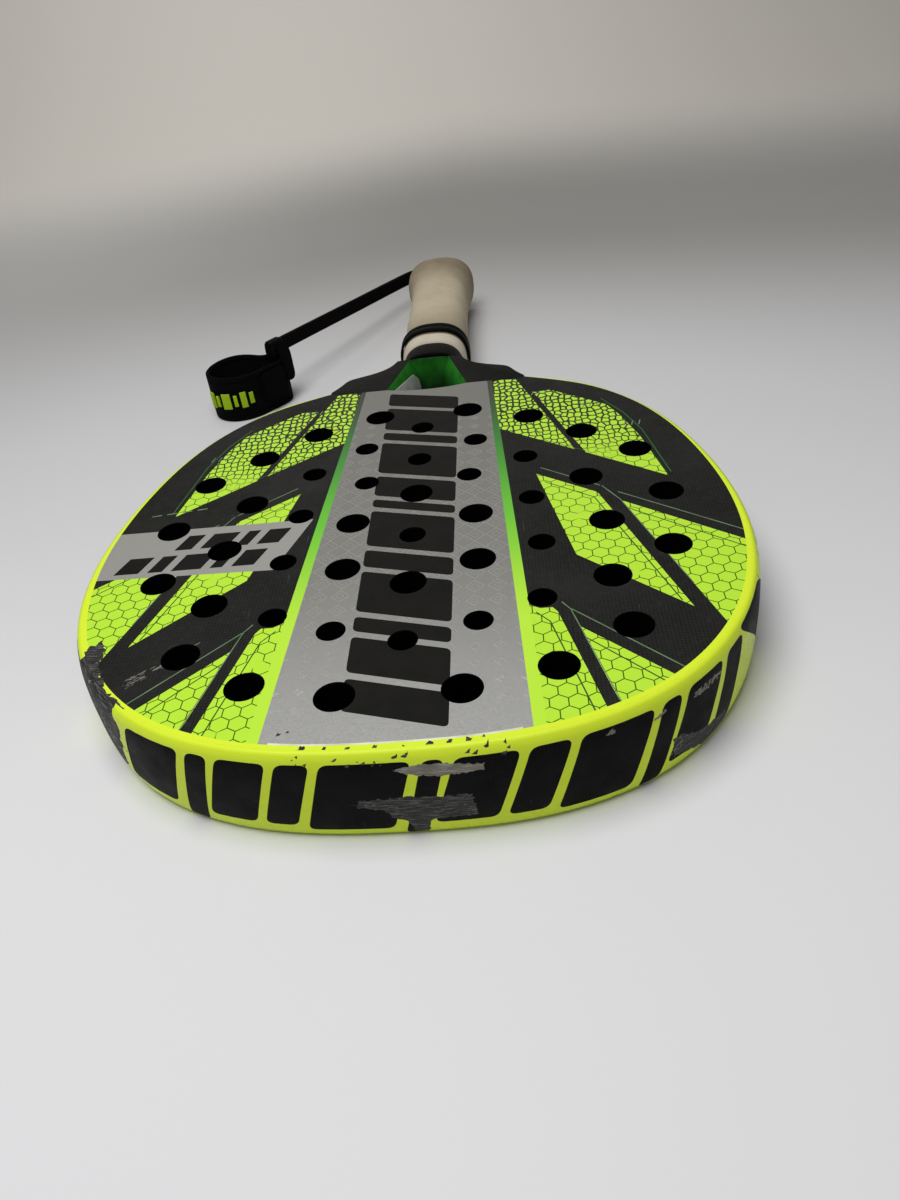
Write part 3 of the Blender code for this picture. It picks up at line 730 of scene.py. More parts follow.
LOOKS = {
    "lime_wall": make_lime("lime_wall", LIME_WALL, shine=0.12),
    "lime_hex": make_lime("lime_hexagons", LIME, "hexagons"),
    "lime_scale": make_lime("lime_scales", LIME, "scales"),
    "band": make_band(),
    "carbon": make_carbon("carbon_black", BLACK, 0.14),
    "wall_black": make_carbon("wall_black", WALL_BLACK, 0.06, on_uv=True),
    "silver": make_silver("silver_stripe", True),
    "silver_plain": make_silver("silver_patch", False),
    "mark": make_plain("mark_black", (24, 24, 22), (30, 29, 27), 0.5, 0.8, 0.01, 0.07),
    "hair_pale": make_plain("hairline_pale", (120, 150, 110), (90, 118, 84), 0.4, 0.8, 0.01),
    "hair_green": make_plain("hairline_green", (30, 110, 44), (24, 84, 34), 0.4, 0.8, 0.01),
    "line_green": make_plain("line_dark_green", (44, 84, 18), (36, 70, 16), 0.4, 0.8, 0.01),
    # Painted highlight: a bright line along the tip's crease where light glints off the edge.
    "glint_painted_highlight": make_plain("glint_painted_highlight", (235, 240, 214), (205, 212, 150), 0.25, 0.7, 0.02,
                              Coat_Weight=0.6, Coat_Roughness=0.08),
    "bare_dark": make_bare("bare_dark", srgb(20, 19, 20), srgb(104, 102, 99), 0.6),
    "bare_pale": make_bare("bare_pale", srgb(120, 116, 106), srgb(178, 174, 162), 0.8),
    "hole_wall": make_plain("hole_wall", (3, 3, 3), (7, 7, 7), 0.9, 0.7, 0.15, 0.02),
    "green": make_green(),
    "rubber": make_plain("rubber_black", (7, 8, 8), (12, 13, 13), 0.5, 0.6, 0.03, 0.04),
    "neck": make_plain("neck_black", (17, 17, 17), (23, 23, 22), 0.5, 0.9, 0.03, 0.07),
    "cushion": make_grip("cushion_grip", srgb(212, 204, 188), srgb(160, 142, 116), 0.25),
    "overgrip": make_grip("overgrip_tape", srgb(194, 182, 157), srgb(122, 110, 88), 0.9),
    "webbing": make_webbing("webbing_black", (4, 4, 5), (11, 11, 12)),
    "band_weave": make_webbing("wristband_black", (4, 4, 6), (14, 14, 16), 0.3),
    "label": make_webbing("label_lime", (150, 190, 30), (186, 222, 50), 0.15),
    "badge": make_plain("badge_silver", (196, 197, 195), (168, 170, 168), 0.4, 0.8, 0.02),
    "plastic": make_plain("slider_plastic", (6, 6, 7), (12, 12, 13), 0.45, 0.6, 0.03, 0.06),
    "foam": make_plain("handle_foam", (190, 176, 140), (168, 150, 112), 0.9, 0.8, 0.1),
    "floor": make_floor(),
}


# ---------------------------------------------------------------- camera, light, floor
def add_camera():
    yaw, pitch, roll = (math.radians(a) for a in (CAMERA_YAW, CAMERA_PITCH, CAMERA_ROLL))
    ahead = math.cos(pitch)
    forward = Vector((math.sin(yaw) * ahead, math.cos(yaw) * ahead, -math.sin(pitch)))
    level = Vector((math.cos(yaw), -math.sin(yaw), 0.0))
    above = level.cross(forward)
    right = math.cos(roll) * level + math.sin(roll) * above
    top = -math.sin(roll) * level + math.cos(roll) * above
    data = bpy.data.cameras.new("camera")
    data.lens = CAMERA_LENS
    data.sensor_width = 36.0
    data.clip_start = 0.01
    camera = place("camera", data)
    turn = Matrix((right, top, -forward)).transposed().to_4x4()
    camera.matrix_world = Matrix.Translation(CAMERA_PLACE) @ turn
    bpy.context.scene.camera = camera


def add_light(name, at, target, size, power):
    data = bpy.data.lights.new(name, "AREA")
    data.shape = "DISK"
    data.size = size
    data.energy = power
    light = place(name, data)
    light.location = at
    light.rotation_euler = (Vector(target) - Vector(at)).to_track_quat("-Z", "Y").to_euler()


def add_studio():
    """Paper sweep, soft lamps and an even sky."""
    half, near, bend_y, radius, top = 3000.0, -3000.0, 750.0, 700.0, 2200.0
    profile = [(near, 0.0), (-600.0, 0.0), (0.0, 0.0), (bend_y, 0.0)]
    for k in range(1, 25):
        angle = math.pi / 2 * k / 24
        profile.append((bend_y + radius * math.sin(angle), radius * (1 - math.cos(angle))))
    profile.append((bend_y + radius, top))
    vertices = [(x, y, z) for y, z in profile for x in (-half, half)]
    faces = [(2 * i, 2 * i + 1, 2 * i + 3, 2 * i + 2) for i in range(len(profile) - 1)]
    floor = add_piece("floor", vertices, faces, ["floor"])

    add_light("lamp_key", (-0.12, -0.26, 0.86), (0.0, -0.20, 0.0), 0.6, 6.5)
    add_light("lamp_back", (-0.35, 0.55, 0.9), (-0.15, 1.5, 0.3), 0.6, 4.0)
    world = bpy.data.worlds.new("sky")
    world.use_nodes = True
    sky = world.node_tree.nodes["Background"]
    sky.inputs["Color"].default_value = (1.0, 0.99, 0.97, 1.0)
    sky.inputs["Strength"].default_value = 0.15
    bpy.context.scene.world = world
    bpy.context.scene.view_settings.view_transform = "Standard"


# ---------------------------------------------------------------- face artwork
def stripe_half(y):
    """Half width of the silver stripe at y."""
    return np.interp(-y, [-24.0, 60.0, 222.0], [30.7, 34.3, 42.1])


def band_outer(y):
    return np.interp(-y, [-24.0, 60.0, 150.0, 222.0], [33.0, 37.8, 42.8, 46.2])


def side_art():
    """Painted shapes of the right half, in painting order."""
    shapes = [
        ("lime_scale", [(33.6, 20.0), (36.0, 22.5), (45.0, 22.0), (68.2, -54.5), (35.2, -29.0)]),
        ("lime_scale", [(53.0, 5.0), (61.0, 6.0), (76.0, -6.0), (86.0, -15.0), (91.0, -27.0),
                        (97.0, -48.0), (103.4, -82.6), (72.5, -58.0)]),
        ("lime_hex", [(50.4, -72.6), (74.0, -91.0), (98.2, -168.0), (62.0, -133.0)]),
        ("lime_hex", [(80.0, -96.6), (124.5, -132.5), (126.0, -140.0), (120.0, -160.0), (107.5, -178.0)]),
        ("lime_hex", [(42.0, -160.0), (47.0, -163.0), (53.0, -163.0), (67.0, -220.0), (42.0, -226.0)]),
        ("lime_hex", [(57.0, -171.6), (88.0, -202.0), (80.0, -216.0), (69.5, -214.0)])]
    lines = [
        ("line_green", 0.5, [(53.6, -79.6), (72.4, -94.6), (95.0, -164.5)]),
        ("line_green", 0.5, [(84.0, -104.2), (123.0, -136.5)]),
        ("line_green", 0.5, [(45.5, -165.0), (50.0, -170.5), (61.5, -217.5)]),
        ("line_green", 0.5, [(61.0, -180.0), (84.5, -204.5)]),
        ("carbon", 4.4, [(74.0, -87.0), (80.0, -98.0), (104.5, -176.0)]),
        ("hair_pale", 0.4, [(76.2, -86.4), (82.3, -97.8), (100.5, -155.5)]),
        ("carbon", 4.4, [(52.0, -160.0), (55.0, -165.0), (67.6, -217.0)]),
        ("hair_pale", 0.4, [(54.6, -160.4), (57.3, -164.6), (69.3, -213.0)]),
        ("hair_green", 0.5, [(84.0, -8.0), (92.5, -24.0), (98.6, -42.0), (105.0, -80.0)]),
        ("hair_pale", 0.45, [(82.0, -92.0), (124.6, -125.8)]),
        ("hair_pale", 0.45, [(52.5, -67.8), (75.5, -86.0)]),
        ("hair_pale", 0.45, [(57.6, -164.6), (92.0, -199.4)]),
        ("hair_green", 0.4, [(48.5, -20.0), (55.5, -44.0), (73.0, -57.0)])]
    ys = np.linspace(23.0, -228.0, 12)
    band = [(stripe_half(y) - 1.0, y) for y in ys] + [(band_outer(y), y) for y in ys[::-1]]
    return shapes + [(name, line_polygon(points, width)) for name, width, points in lines] + [("band", band)]


def border_art():
    """Lime border just inside the crease, thinning out towards the throat, and a painted highlight (a glint
    line) at the tip.
    """
    outer, inner, glint = [], [], []
    for point, inward, run in zip(HEAD_LINE, HEAD_INWARD, abs(HEAD_RUN)):
        if run < BORDER_REACH:
            width = 1.8 * min(1.0, (BORDER_REACH - run) / 130.0)
            outer.append(tuple(point + inward * (RIM_INSET - 1.0)))
            inner.append(tuple(point + inward * (RIM_INSET + width)))
        if run < GLINT_REACH:
            glint.append(tuple(point + inward * (RIM_INSET + 2.1)))
    return [("lime_wall", outer + inner[::-1]), ("glint_painted_highlight", line_polygon(glint, 0.8))]


def stripe_art():
    """The silver stripe, with a column of plain black bars parted by slanted cuts."""
    ys = np.linspace(24.0, -222.3, 12)
    edge = [(stripe_half(y), y) for y in ys]
    art = [("silver", edge + mirrored(edge))]
    left, right, lean, gap = -18.0, 16.5, 10.0, 3.0
    top = 18.0
    for tall in STRIPE_BARS:
        low = top - tall
        art.append(("mark", rounded([(left, top), (left, low), (right, low - lean), (right, top - lean)],
                                    2.2)))
        top = low - gap
    return art


def patch_art():
    """Silver patch on the left with two rows of plain slashes, and small dashes elsewhere."""
    art = [("silver_plain", [(-126.0, -93.2), (-42.0, -93.5), (-53.0, -127.5), (-126.0, -125.5)])]
    for low, high, x, widths in PATCH_ROWS:
        for width in widths:
            art.append(("mark", [(x, low), (x + width, low), (x + width + 4.0, high), (x + 4.0, high)]))
            x += width + 3.6
    dashes = [[(x, y), (x + 4.2, y + 0.6)]
              for x, y in ((-114.0, -81.0), (-107.5, -80.2), (-101.0, -79.4), (-94.5, -78.6))]
    art += [("hair_pale", line_polygon(dash, 0.7)) for dash in dashes]
    for x, y in ((52.0, 4.0), (75.0, -13.5), (91.5, -35.0)):
        for side in (-1, 1):
            for start in (side * (x + 3.2 * k) for k in range(3)):
                art.append(("hair_pale", line_polygon([(start, y - 2.0), (start + 1.0, y + 2.0)], 0.5)))
    return art


def wear_art():
    """Torn paint at the left front corner, scratches beside it and chips along the tip."""
    corner = [(-109.0, -163.0), (-118.0, -172.0), (-104.0, -194.0), (-90.0, -208.0), (-90.5, -199.0),
              (-99.5, -189.5), (-106.0, -177.0), (-106.5, -168.0)]
    art = [("bare_dark", ragged(corner, 3, 1.4, 0.9))]
    chance = random.Random(11)
    for count in range(46):
        along = chance.random()
        x = -95.0 + 20.0 * along
        y = -189.0 + 16.0 * along + chance.uniform(-2.6, 2.6)
        reach = chance.uniform(0.8, 3.4)
        sliver = [(x, y), (x + reach, y + 0.8 * reach + 0.25), (x + reach * 0.9, y + 0.7 * reach - 0.2)]
        art.append(("bare_pale", ragged(sliver, 20 + count, 0.8, 0.2)))
    for x, y, size in TIP_CHIPS:
        chip = [(x - size, y - size), (x + size * 0.6, y - size * 0.8), (x + size * 0.9, y + size * 0.4),
                (x - size * 0.3, y + size * 0.9)]
        art.append(("bare_dark", ragged(chip, int(1000 + x), 0.6, 0.25)))
    return art


def both_sides(art):
    return [(name, shape) for name, points in art for shape in (points, mirrored(points))]


def all_holes():
    holes = [(0.0, y, radius) for y, radius in CENTRE_HOLES]
    for x, y, radius in SIDE_HOLES:
        holes += [(x, y, radius), (-x, y, radius)]
    return holes


def throat_mouth(steps):
    """The bridge's concave edge at the throat opening, from right to left."""
    shares = [1 - 2 * i / steps for i in range(steps + 1)]
    return [(THROAT_NEAR_HALF * a, THROAT_NEAR_Y - THROAT_DIP * (1 - a * a)) for a in shares]


def add_head():
    crease = [tuple(p) for p in HEAD_LINE + HEAD_INWARD * RIM_INSET]
    outline = crease + [(46.0, THROAT_NEAR_Y)] + throat_mouth(24) + [(-46.0, THROAT_NEAR_Y)]
    looks = ["carbon", "hole_wall", "lime_scale", "lime_hex", "line_green", "hair_pale", "hair_green",
             "lime_wall", "band", "silver", "glint_painted_highlight", "mark", "silver_plain", "bare_dark", "bare_pale"]
    holes = all_holes()
    sides = both_sides(side_art())
    front = sides + stripe_art() + patch_art() + border_art() + wear_art()
    back = sides + stripe_art()[:1] + border_art()
    for side, art, z_face, z_under in (("front", front, THICKNESS, THICKNESS - SKIN), ("back", back, 0.0,
                                                                                       SKIN)):
        piece = add_plate("sheet_" + side, outline, holes, art, "carbon", looks, z_face, z_under, "hole_wall")
        finish_piece(piece, "racket", side + "_sheet", "face_" + side)

    inner = [tuple(p) for p in HEAD_LINE[::2] + HEAD_INWARD[::2] * (RIM_DEPTH + 0.3) if p[1] < 8.0]
    bridge = [(-47.0, THROAT_NEAR_Y - 0.2), (-64.0, 8.3), (64.0, 8.3), (47.0, THROAT_NEAR_Y - 0.2)]
    bridge += throat_mouth(24)
    for name, shape, drilled, look, slot, node in (
            ("core_visible", inner, holes, "hole_wall", "core", "core_foam"),
            ("bridge_visible", bridge, [], "green", "throat_paint", "throat_bridge")):
        piece = add_plate(name, shape, drilled, [], look, [look], THICKNESS - SKIN, SKIN)
        finish_piece(piece, "racket", slot, node)


# ---------------------------------------------------------------- rim
PROFILE_Z = [MID_Z + MID_Z * math.cos(math.pi * k / 240) for k in range(241)]
PROFILE = np.array([(rim_inset(z, RIM_INSET), z) for z in PROFILE_Z])
PROFILE_RUN = run_lengths(PROFILE)


def down(z):
    """Distance down the side wall, from the front crease, at height z."""
    return float(np.interp(-z, -PROFILE[:, 1], PROFILE_RUN))


def on_wall(points):
    """A shape given by (distance round the head, height) laid on the unrolled wall."""
    return [(s, down(min(THICKNESS, max(0.0, z)))) for s, z in points]


def rim_art():
    """Painted shapes on the side wall: slanted bars at the tip, black towards the throat."""
    end = HEAD_RUN[-1] + 1
    wall = [(178.0, 36.3), (215.0, 36.6), (240.0, 36.0), (300.0, 36.3), (end, 38.0), (end, 0.0),
            (215.0, 0.0), (178.0, 0.0)]
    accent = rounded([(127.0, 36.6), (156.0, 36.8), (176.0, 22.0), (176.0, 3.0), (164.0, 1.5),
                      (146.0, 20.0)], 4.0)
    shapes = []
    for side, pair in ((1, [wall, accent]), (-1, [mirrored(wall), mirrored(accent)])):
        shapes += pair
        shapes += [line_polygon([(side * s, 37.0), (side * s, 24.0)], 0.5) for s in (158.5, 172.5)]
    left = RIM_BARS_START
    for wide, low in RIM_BARS:
        right, top, lean = left + wide, 34.4, 9.0
        shapes.append(rounded([(left, low), (right, low), (right + lean, top), (left + lean, top)], 3.0))
        left = right + 3.0
    return [("wall_black", shape) for shape in shapes]


def rim_wear():
    """Scraped patches on the side wall, and small chips scattered in ranges of (s, height)."""
    gouge = [(-1.0, 31.4), (7.0, 33.2), (18.0, 32.6), (27.0, 31.2), (26.0, 28.8), (12.0, 28.0), (3.0, 29.6)]
    torn = [(-14.5, 16.0), (-13.0, 19.0), (2.0, 19.8), (22.0, 18.8), (23.0, 9.0), (8.0, 8.2), (6.5, 1.0),
            (2.5, 1.0), (1.0, 8.0), (-4.0, 10.0), (-6.0, 14.0)]
    corner = [(-136.0, 41.0), (-104.0, 41.0), (-100.0, 30.0), (-103.0, 20.0), (-106.0, 10.0),
              (-114.0, 2.0), (-128.0, 2.0), (-136.0, 12.0)]
    right = [(89.0, 16.5), (92.0, 17.5), (101.0, 12.0), (118.0, 9.0), (121.0, 2.5), (108.0, 1.0),
             (98.0, 6.0), (90.0, 8.0)]
    art = [("bare_dark", ragged(torn, 5, 1.0, 0.5)), ("bare_pale", ragged(gouge, 6, 0.8, 0.35)),
           ("bare_dark", ragged(corner, 7, 1.4, 0.9)), ("bare_dark", ragged(right, 8, 1.2, 0.6))]
    chance = random.Random(12)
    for low_s, high_s, low_z, high_z, count in CHIP_SPOTS:
        for _ in range(count):
            s = chance.uniform(low_s, high_s)
            z = chance.uniform(low_z, high_z)
            reach = chance.uniform(0.5, 2.2)
            chip = [(s, z), (s + reach, z + 0.5 * reach), (s + 0.7 * reach, z - 0.4)]
            name = "bare_dark" if z > 33.0 and -40.0 < s < 40.0 else "bare_pale"
            art.append((name, ragged(chip, int(7 * s + z), 0.7, 0.25)))
    return art


def add_rim():
    """The side wall, painted on the unrolled surface and bent round the head."""
    first, last = HEAD_RUN[0], HEAD_RUN[-1]
    total = PROFILE_RUN[-1]
    outline = [(first, 0.0), (last, 0.0), (last, total), (first, total)]
    art = [(name, on_wall(shape)) for name, shape in rim_art() + rim_wear()]
    lines = [[(s, 0.0), (s, total)] for s in HEAD_RUN[1:-1:2]]
    lines += [[(s, total * k / RIM_LEVELS) for s in (first, last)] for k in range(1, RIM_LEVELS)]
    flat, triangles = triangulate([outline] + [shape for _, shape in art], lines)
    triangles = triangles[inside(flat[triangles].mean(axis=1), outline)]
    names = painted(flat[triangles].mean(axis=1), art, "lime_wall")

    s, t = flat[:, 0], flat[:, 1]
    spot = np.stack([np.interp(s, HEAD_RUN, HEAD_LINE[:, k]) for k in (0, 1)], axis=1)
    inward = unit(np.stack([np.interp(s, HEAD_RUN, HEAD_INWARD[:, k]) for k in (0, 1)], axis=1))
    inset, z = (np.interp(t, PROFILE_RUN, PROFILE[:, k]) for k in (0, 1))
    slope = np.gradient(PROFILE, PROFILE_RUN, axis=0)
    facing_in = np.interp(t, PROFILE_RUN, slope[:, 1])
    facing_up = -np.interp(t, PROFILE_RUN, slope[:, 0])
    outward = unit(np.column_stack([inward * facing_in[:, None], facing_up]))

    vertices = [tuple(p) for p in np.column_stack([spot + inward * inset[:, None], z])]
    normals = [tuple(n) for n in outward]
    uv = [tuple(p) for p in flat]
    faces = [tuple(reversed(tri)) for tri in triangles]
    rows = []
    for height in (THICKNESS - SKIN - 0.1, SKIN + 0.1):
        rows.append([])
        for k in range(0, HEAD_STATIONS, 2):
            rows[-1].append((HEAD_RUN[k], len(vertices)))
            vertices.append((*(HEAD_LINE[k] + HEAD_INWARD[k] * RIM_DEPTH), height))
            normals.append((*HEAD_INWARD[k], 0.0))
            uv.append((HEAD_RUN[k], height))
    used = [int(i) for i in np.unique(triangles)]
    top, bottom = (sorted((flat[i, 0], i) for i in used if abs(flat[i, 1] - level) < 1e-3)
                   for level in (0.0, total))
    inner_faces = zipped(top, rows[0]) + zipped(*rows) + zipped(rows[1], bottom)
    faces += inner_faces
    names += ["wall_black"] * len(inner_faces)
    if signed_volume(vertices, faces) < 0:
        faces = [tuple(reversed(face)) for face in faces]
    looks = ["lime_wall", "wall_black", "bare_dark", "bare_pale"]
    piece = add_piece("rim_wall", vertices, faces, looks, names, uv=uv, normals=normals)
    finish_piece(piece, "racket", "frame_paint", "frame_tube")


# ---------------------------------------------------------------- throat and handle
def add_arms():
    """Both throat arms: curved outside, swelled green wall inside, and a badge on the left one."""
    edge = natural_spline(ARM_EDGE, 41)
    inward = left_normals(edge)
    foot = THROAT_NEAR_Y + 0.3
    wall_steps = 10
    wall = range(len(edge), len(edge) + wall_steps)
    for name, side in (("right", 1), ("left", -1)):
        rings = []
        for k in range(25):
            share = 0.5 - 0.5 * math.cos(math.pi * k / 24)
            z = THICKNESS * share
            inset = rim_inset(z, ARM_INSET)
            swell = ARM_SWELL * (1 - (2 * share - 1) ** 2)
            ring = [(side * (x + a * inset), min(y + b * inset, THROAT_FAR_Y), z)
                    for (x, y), (a, b) in zip(edge, inward)]
            for t in (i / wall_steps for i in range(wall_steps + 1)):
                x = THROAT_FAR_HALF + (THROAT_NEAR_HALF - THROAT_FAR_HALF) * t - swell
                ring.append((side * x, THROAT_FAR_Y + (foot - THROAT_FAR_Y) * t, z))
            rings.append(ring + [(side * 48.3, foot, z)])
        piece = add_loft("arm_" + name, rings, ["neck", "green"],
                         paint=lambda i, k: "green" if k in wall and 0 <= i < 23 else "neck")
        finish_piece(piece, "racket", "carbon", "throat_arm_" + name)
    finish_piece(add_loft("wall_badge", badge_rings(), ["badge"]), "racket", "label")


def badge_rings():
    """A thin silver badge that follows the left throat wall."""
    slope = (THROAT_NEAR_HALF - THROAT_FAR_HALF) / (THROAT_FAR_Y - THROAT_NEAR_Y - 0.3)
    first, last = 27.0, 57.5
    rings = []
    for step in range(17):
        t = step / 16
        y = first + (last - first) * t
        top = min(34.6 - 3.6 * t, 27.0 + 1.3 * (last - y))
        bottom = 12.0 + 8.0 * t
        ring = []
        for lift, heights in ((0.0, np.linspace(bottom, top, 8)), (0.35, np.linspace(top, bottom, 8))):
            for z in heights:
                x = THROAT_NEAR_HALF - slope * (y - THROAT_NEAR_Y - 0.3)
                x -= ARM_SWELL * (1 - (2 * z / THICKNESS - 1) ** 2)
                ring.append((-x + lift, y, z))
        rings.append(ring)
    return rings


def wrap_bulge(angle, y):
    """Relief of the overgrip: each turn of the tape lies over the one before."""
    turn = (y / WRAP_PITCH - angle / (2 * math.pi)) % 1.0
    ease = min(1.0, (y - OVERGRIP_START) / 3.0) * min(1.0, max(0.0, (BUTT_Y - 2.0 - y) / 6.0))
    dent = 0.25 * math.sin(3 * angle + y / 13.0) + 0.15 * math.sin(5 * angle - y / 7.0)
    step = turn if turn < 0.96 else (1.0 - turn) / 0.04 * 0.96
    return (WRAP_STEP * (step - 0.6) + 0.5 * dent - 0.1) * ease


def add_overgrip():
    """Wrapped tape with a rounded butt end, the strap's hole in it, and a plain inside."""
    sides = 144
    rings = [oval(y, *between(OVERGRIP, y), sides=sides, bulge=wrap_bulge)
             for y in np.arange(OVERGRIP_START, 222.6, 0.9)]
    wide, tall = between(OVERGRIP, 224.0)
    stations = []
    for angle in (math.pi / 2 * k / 8 for k in range(9)):
        back = BUTT_ROUND * (1 - math.cos(angle))
        stations.append((BUTT_Y - BUTT_ROUND + BUTT_ROUND * math.sin(angle), wide - back - 0.2,
                         tall - back - 0.2))
    for share in (0.7, 0.4, 0.15):
        width, height = (hole + (size - BUTT_ROUND - hole) * share
                         for hole, size in zip(BUTT_HOLE, (wide, tall)))
        stations.append((BUTT_Y, width, height))
    stations += [(BUTT_Y - 0.3, *BUTT_HOLE), (BUTT_Y - 1.5, *BUTT_HOLE)] + OVERGRIP_INSIDE
    rings += [oval(*station, sides=sides) for station in stations]
    piece = add_loft("overgrip_visible", rings, ["overgrip"], ends="joined", angle=50)
    finish_piece(piece, "racket", "overgrip", "overgrip")


def add_handle():
    piece = add_loft("neck_visible", [oval(*station) for station in NECK], ["neck", "green"],
                     paint=lambda i, k: "green" if i == -1 else "neck")
    finish_piece(piece, "racket", "carbon", "handle_shell")
    for name, stations, look, slot, node in (
            ("collar_visible", COLLAR, "rubber", "rubber", "neck_collar"),
            ("cushion_visible", CUSHION, "cushion", "cushion_grip", "base_grip")):
        piece = add_loft(name, [oval(*station) for station in stations], [look], ends="joined")
        finish_piece(piece, "racket", slot, node)
    add_overgrip()
    rings = [oval(RING_Y + y, RING_OUTER[0] + d, RING_OUTER[1] + d) for y, d in RING_PROFILE]
    rings += [oval(RING_Y + 5.1, *RING_INNER), oval(RING_Y - 5.1, *RING_INNER)]
    piece = add_loft("ring_visible", rings, ["rubber"], ends="joined")
    finish_piece(piece, "grip_ring", "rubber", "rubber_ring")

    for node, look in (("butt_cap", "rubber"), ("strap_knot", "plastic"), ("handle_foam", "foam")):
        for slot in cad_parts[node].material_slots:
            slot.material = LOOKS[look]


# ---------------------------------------------------------------- strap and wristband
def flat_section(half_thick, half_wide, corner=0.8, steps=3):
    """Rounded rectangle as (across, up) points."""
    right = [(half_thick, -half_wide), (half_thick, half_wide)]
    box = [(-half_thick, -half_wide)] + right + [(-half_thick, half_wide)]
    return rounded(box, corner, steps)


def section_run(section):
    """Distance round a section at each of its points."""
    return run_lengths(np.array(section + section[:1]))[:-1]


def add_ribbon(name, route, section, wide_way, end_round=0.0):
    """Webbing along a route, its width as near to wide_way as the route lets it."""
    runs = run_lengths(route)
    widths = section_run(section)
    rings, uv = [], []
    for point, way, run in zip(route, unit(np.gradient(route, axis=0)), runs):
        wide = wide_way - way * (wide_way @ way)
        wide /= np.linalg.norm(wide)
        thick = np.cross(way, wide)
        from_end = min(1.0, (runs[-1] - run) / end_round) if end_round else 1.0
        narrow = 0.4 + 0.6 * math.sqrt(1 - (1 - from_end) ** 2)
        uv += [(run, width) for width in widths]
        rings.append([point + thick * a + wide * b * narrow for a, b in section])
    return add_loft(name, rings, ["webbing"], uv=uv, angle=60)


def add_strap():
    route = natural_spline(STRAP_ROUTE, STRAP_POINTS)
    section = flat_section(STRAP_THICKNESS / 2, STRAP_WIDTH / 2)
    strap = add_ribbon("strap_webbing", route, section, np.array((0.0, 0.0, 1.0)))
    return finish_piece(strap, "racket", "webbing", "wrist_strap"), route


def add_slider():
    """Ribbed keeper round the strap, lined up with the strap's last stretch."""
    end = Vector(STRAP_ROUTE[-1])
    way = (Vector(STRAP_ROUTE[-2]) - end).normalized()
    side = way.cross(Vector((0.0, 0.0, 1.0))).normalized()
    top = side.cross(way)
    outer = flat_section(*SLIDER_HALF, 3.0, 4)
    hole = flat_section(STRAP_THICKNESS / 2 + 0.25, STRAP_WIDTH / 2 + 0.25, 0.8, 4)
    stations = [(0.0, outer, 1.1), (0.5, outer, 0.35), (1.4, outer, 0.0)]
    profile = ((-0.5, 0.0), (-0.2, 0.3), (0.2, 0.3), (0.5, 0.0))
    for groove in (3.0 + 1.65 * k for k in range(4)):
        stations += [(groove + far, outer, shrink) for far, shrink in profile]
    stations += [(9.6, outer, 0.0), (10.5, outer, 0.35), (SLIDER_LENGTH, outer, 1.1),
                 (SLIDER_LENGTH, hole, 0.0), (0.0, hole, 0.0)]
    rings = []
    for far, shape, shrink in stations:
        smaller = [[c - math.copysign(min(abs(c), shrink), c) for c in corner] for corner in shape]
        rings.append([end + way * (SLIDER_START + far) + side * a + top * b for a, b in smaller])
    slider = add_loft("slider_visible", rings, ["plastic"], ends="joined")
    return finish_piece(slider, "slider", "rubber", "strap_slider")


def add_tail():
    """Sewn tail of the strap, folded over the band's top edge and down its outside."""
    section = [(-a, b) for a, b in flat_section(1.1, STRAP_WIDTH / 2 + 0.3, 0.9)]
    tail = add_ribbon("strap_tail", natural_spline(STRAP_TAIL, 30), section, np.array(BAND_EDGE_WAY), 4.0)
    return finish_piece(tail, "racket", "webbing")


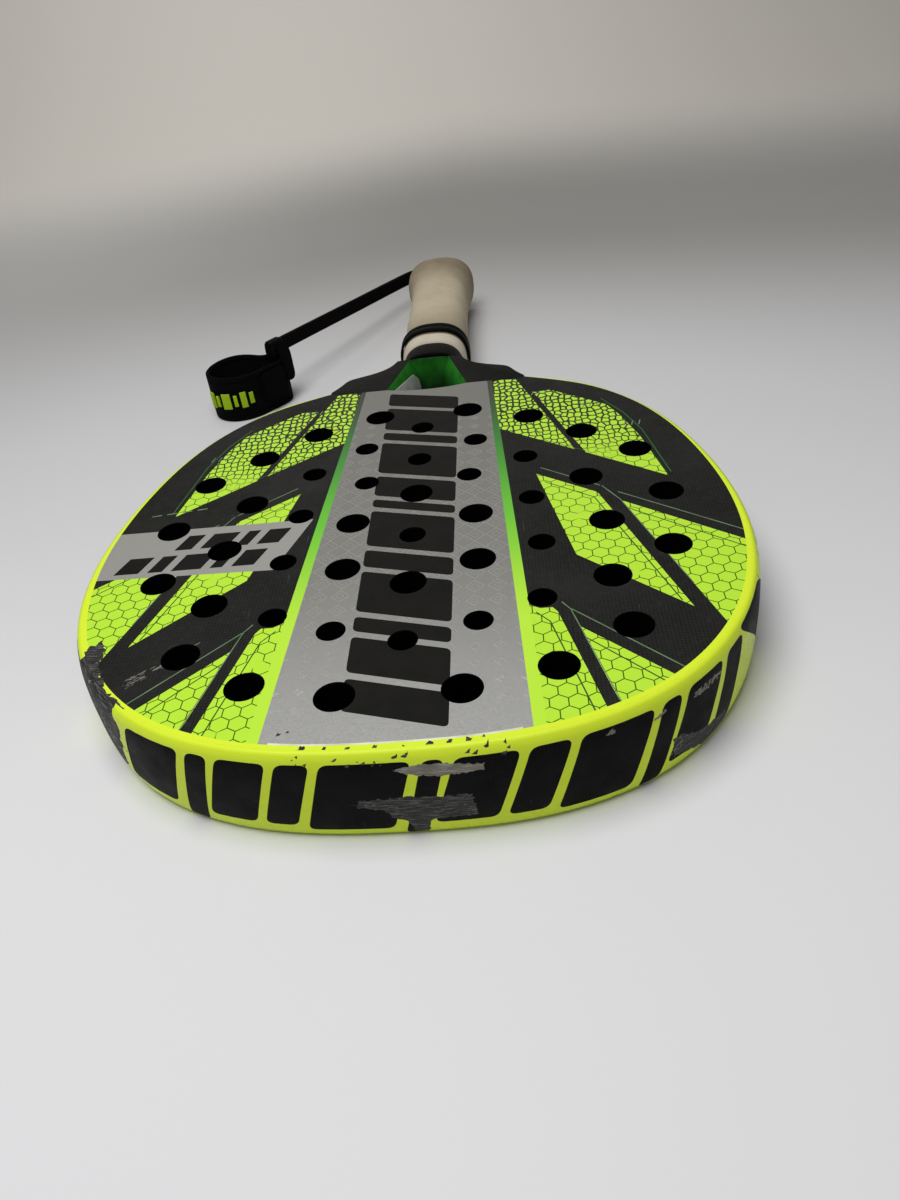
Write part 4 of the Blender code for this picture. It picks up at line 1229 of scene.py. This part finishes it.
def standing_strip(name, line, section, look, closed=False, wobble=0.0, z_mid=0.0, end_round=0.0):
    """A strip standing on edge along a plan line, with a rounded section."""
    normals = left_normals(line, closed)
    runs = run_lengths(line)
    widths = section_run(section)
    rings, uv = [], []
    for (x, y), (nx, ny), run in zip(line, normals, runs):
        shake = wobble * (math.sin(run / 9.0) + 0.6 * math.sin(run / 4.1 + 1.0))
        from_end = min(run, runs[-1] - run)
        short = 1.0
        if from_end < end_round:
            short = 0.6 + 0.4 * math.sqrt(1 - (1 - from_end / end_round) ** 2)
        ring = []
        for (a, b), width in zip(section, widths):
            lift = shake * max(0.0, b / BAND_HEIGHT)
            out = a + 0.4 * lift
            ring.append((x + nx * out, y + ny * out, z_mid + b * short + lift))
            uv.append((run, width))
        rings.append(ring)
    return add_loft(name, rings, [look], ends="joined" if closed else "capped", uv=uv, angle=60)


def band_section():
    """Band section with sewn hems: a shallow groove near each long edge."""
    half = BAND_HEIGHT / 2
    side = [(-half + 0.1, -0.9), (-half + 0.9, -0.05), (-half + 2.6, 0.0), (-half + 3.1, -0.3),
            (-half + 3.6, 0.0), (-half / 2, 0.0), (0.0, 0.0), (half / 2, 0.0), (half - 3.6, 0.0),
            (half - 3.1, -0.3), (half - 2.6, 0.0), (half - 0.9, -0.05), (half - 0.1, -0.9)]
    thick = BAND_THICKNESS / 2
    right = [(thick + d, z) for z, d in side]
    left = [(-thick - d, z) for z, d in reversed(side)]
    return right + left


def add_wristband():
    loop = natural_spline(BAND_LOOP, 180, closed=True)
    band = standing_strip("wristband_visible", loop, band_section(), "band_weave", True, 0.35,
                          BAND_HEIGHT / 2)
    finish_piece(band, "racket", "webbing", "wristband")

    section = flat_section(TAB_THICKNESS / 2, (TAB_Z[1] - TAB_Z[0]) / 2, 0.9)
    tab = standing_strip("tab_visible", natural_spline(TAB_ROUTE, 30), section, "band_weave",
                         z_mid=sum(TAB_Z) / 2, end_round=4.0)
    finish_piece(tab, "band_tab", "webbing", "wristband_tab")

    label_line = natural_spline(LABEL_ROUTE, 61)
    half = (LABEL_Z[1] - LABEL_Z[0]) / 2
    dashes = []
    for number, (start, stop) in enumerate(LABEL_DASHES):
        section = flat_section(LABEL_THICKNESS / 2, half * (0.72 if number % 2 else 1.0), 0.4)
        dash = standing_strip("label_dash_%d" % (number + 1), label_line[start:stop], section, "label",
                              z_mid=sum(LABEL_Z) / 2)
        dashes.append(finish_piece(dash, "racket", "label"))
    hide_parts("wristband_label")
    return [band, tab, add_tail()] + dashes


add_camera()
add_studio()
strap, strap_route = add_strap()
strap_path = [tuple(point * MM) for point in strap_route]
on_strap = [add_slider()] + add_wristband()
add_head()
add_rim()
add_arms()
add_handle()
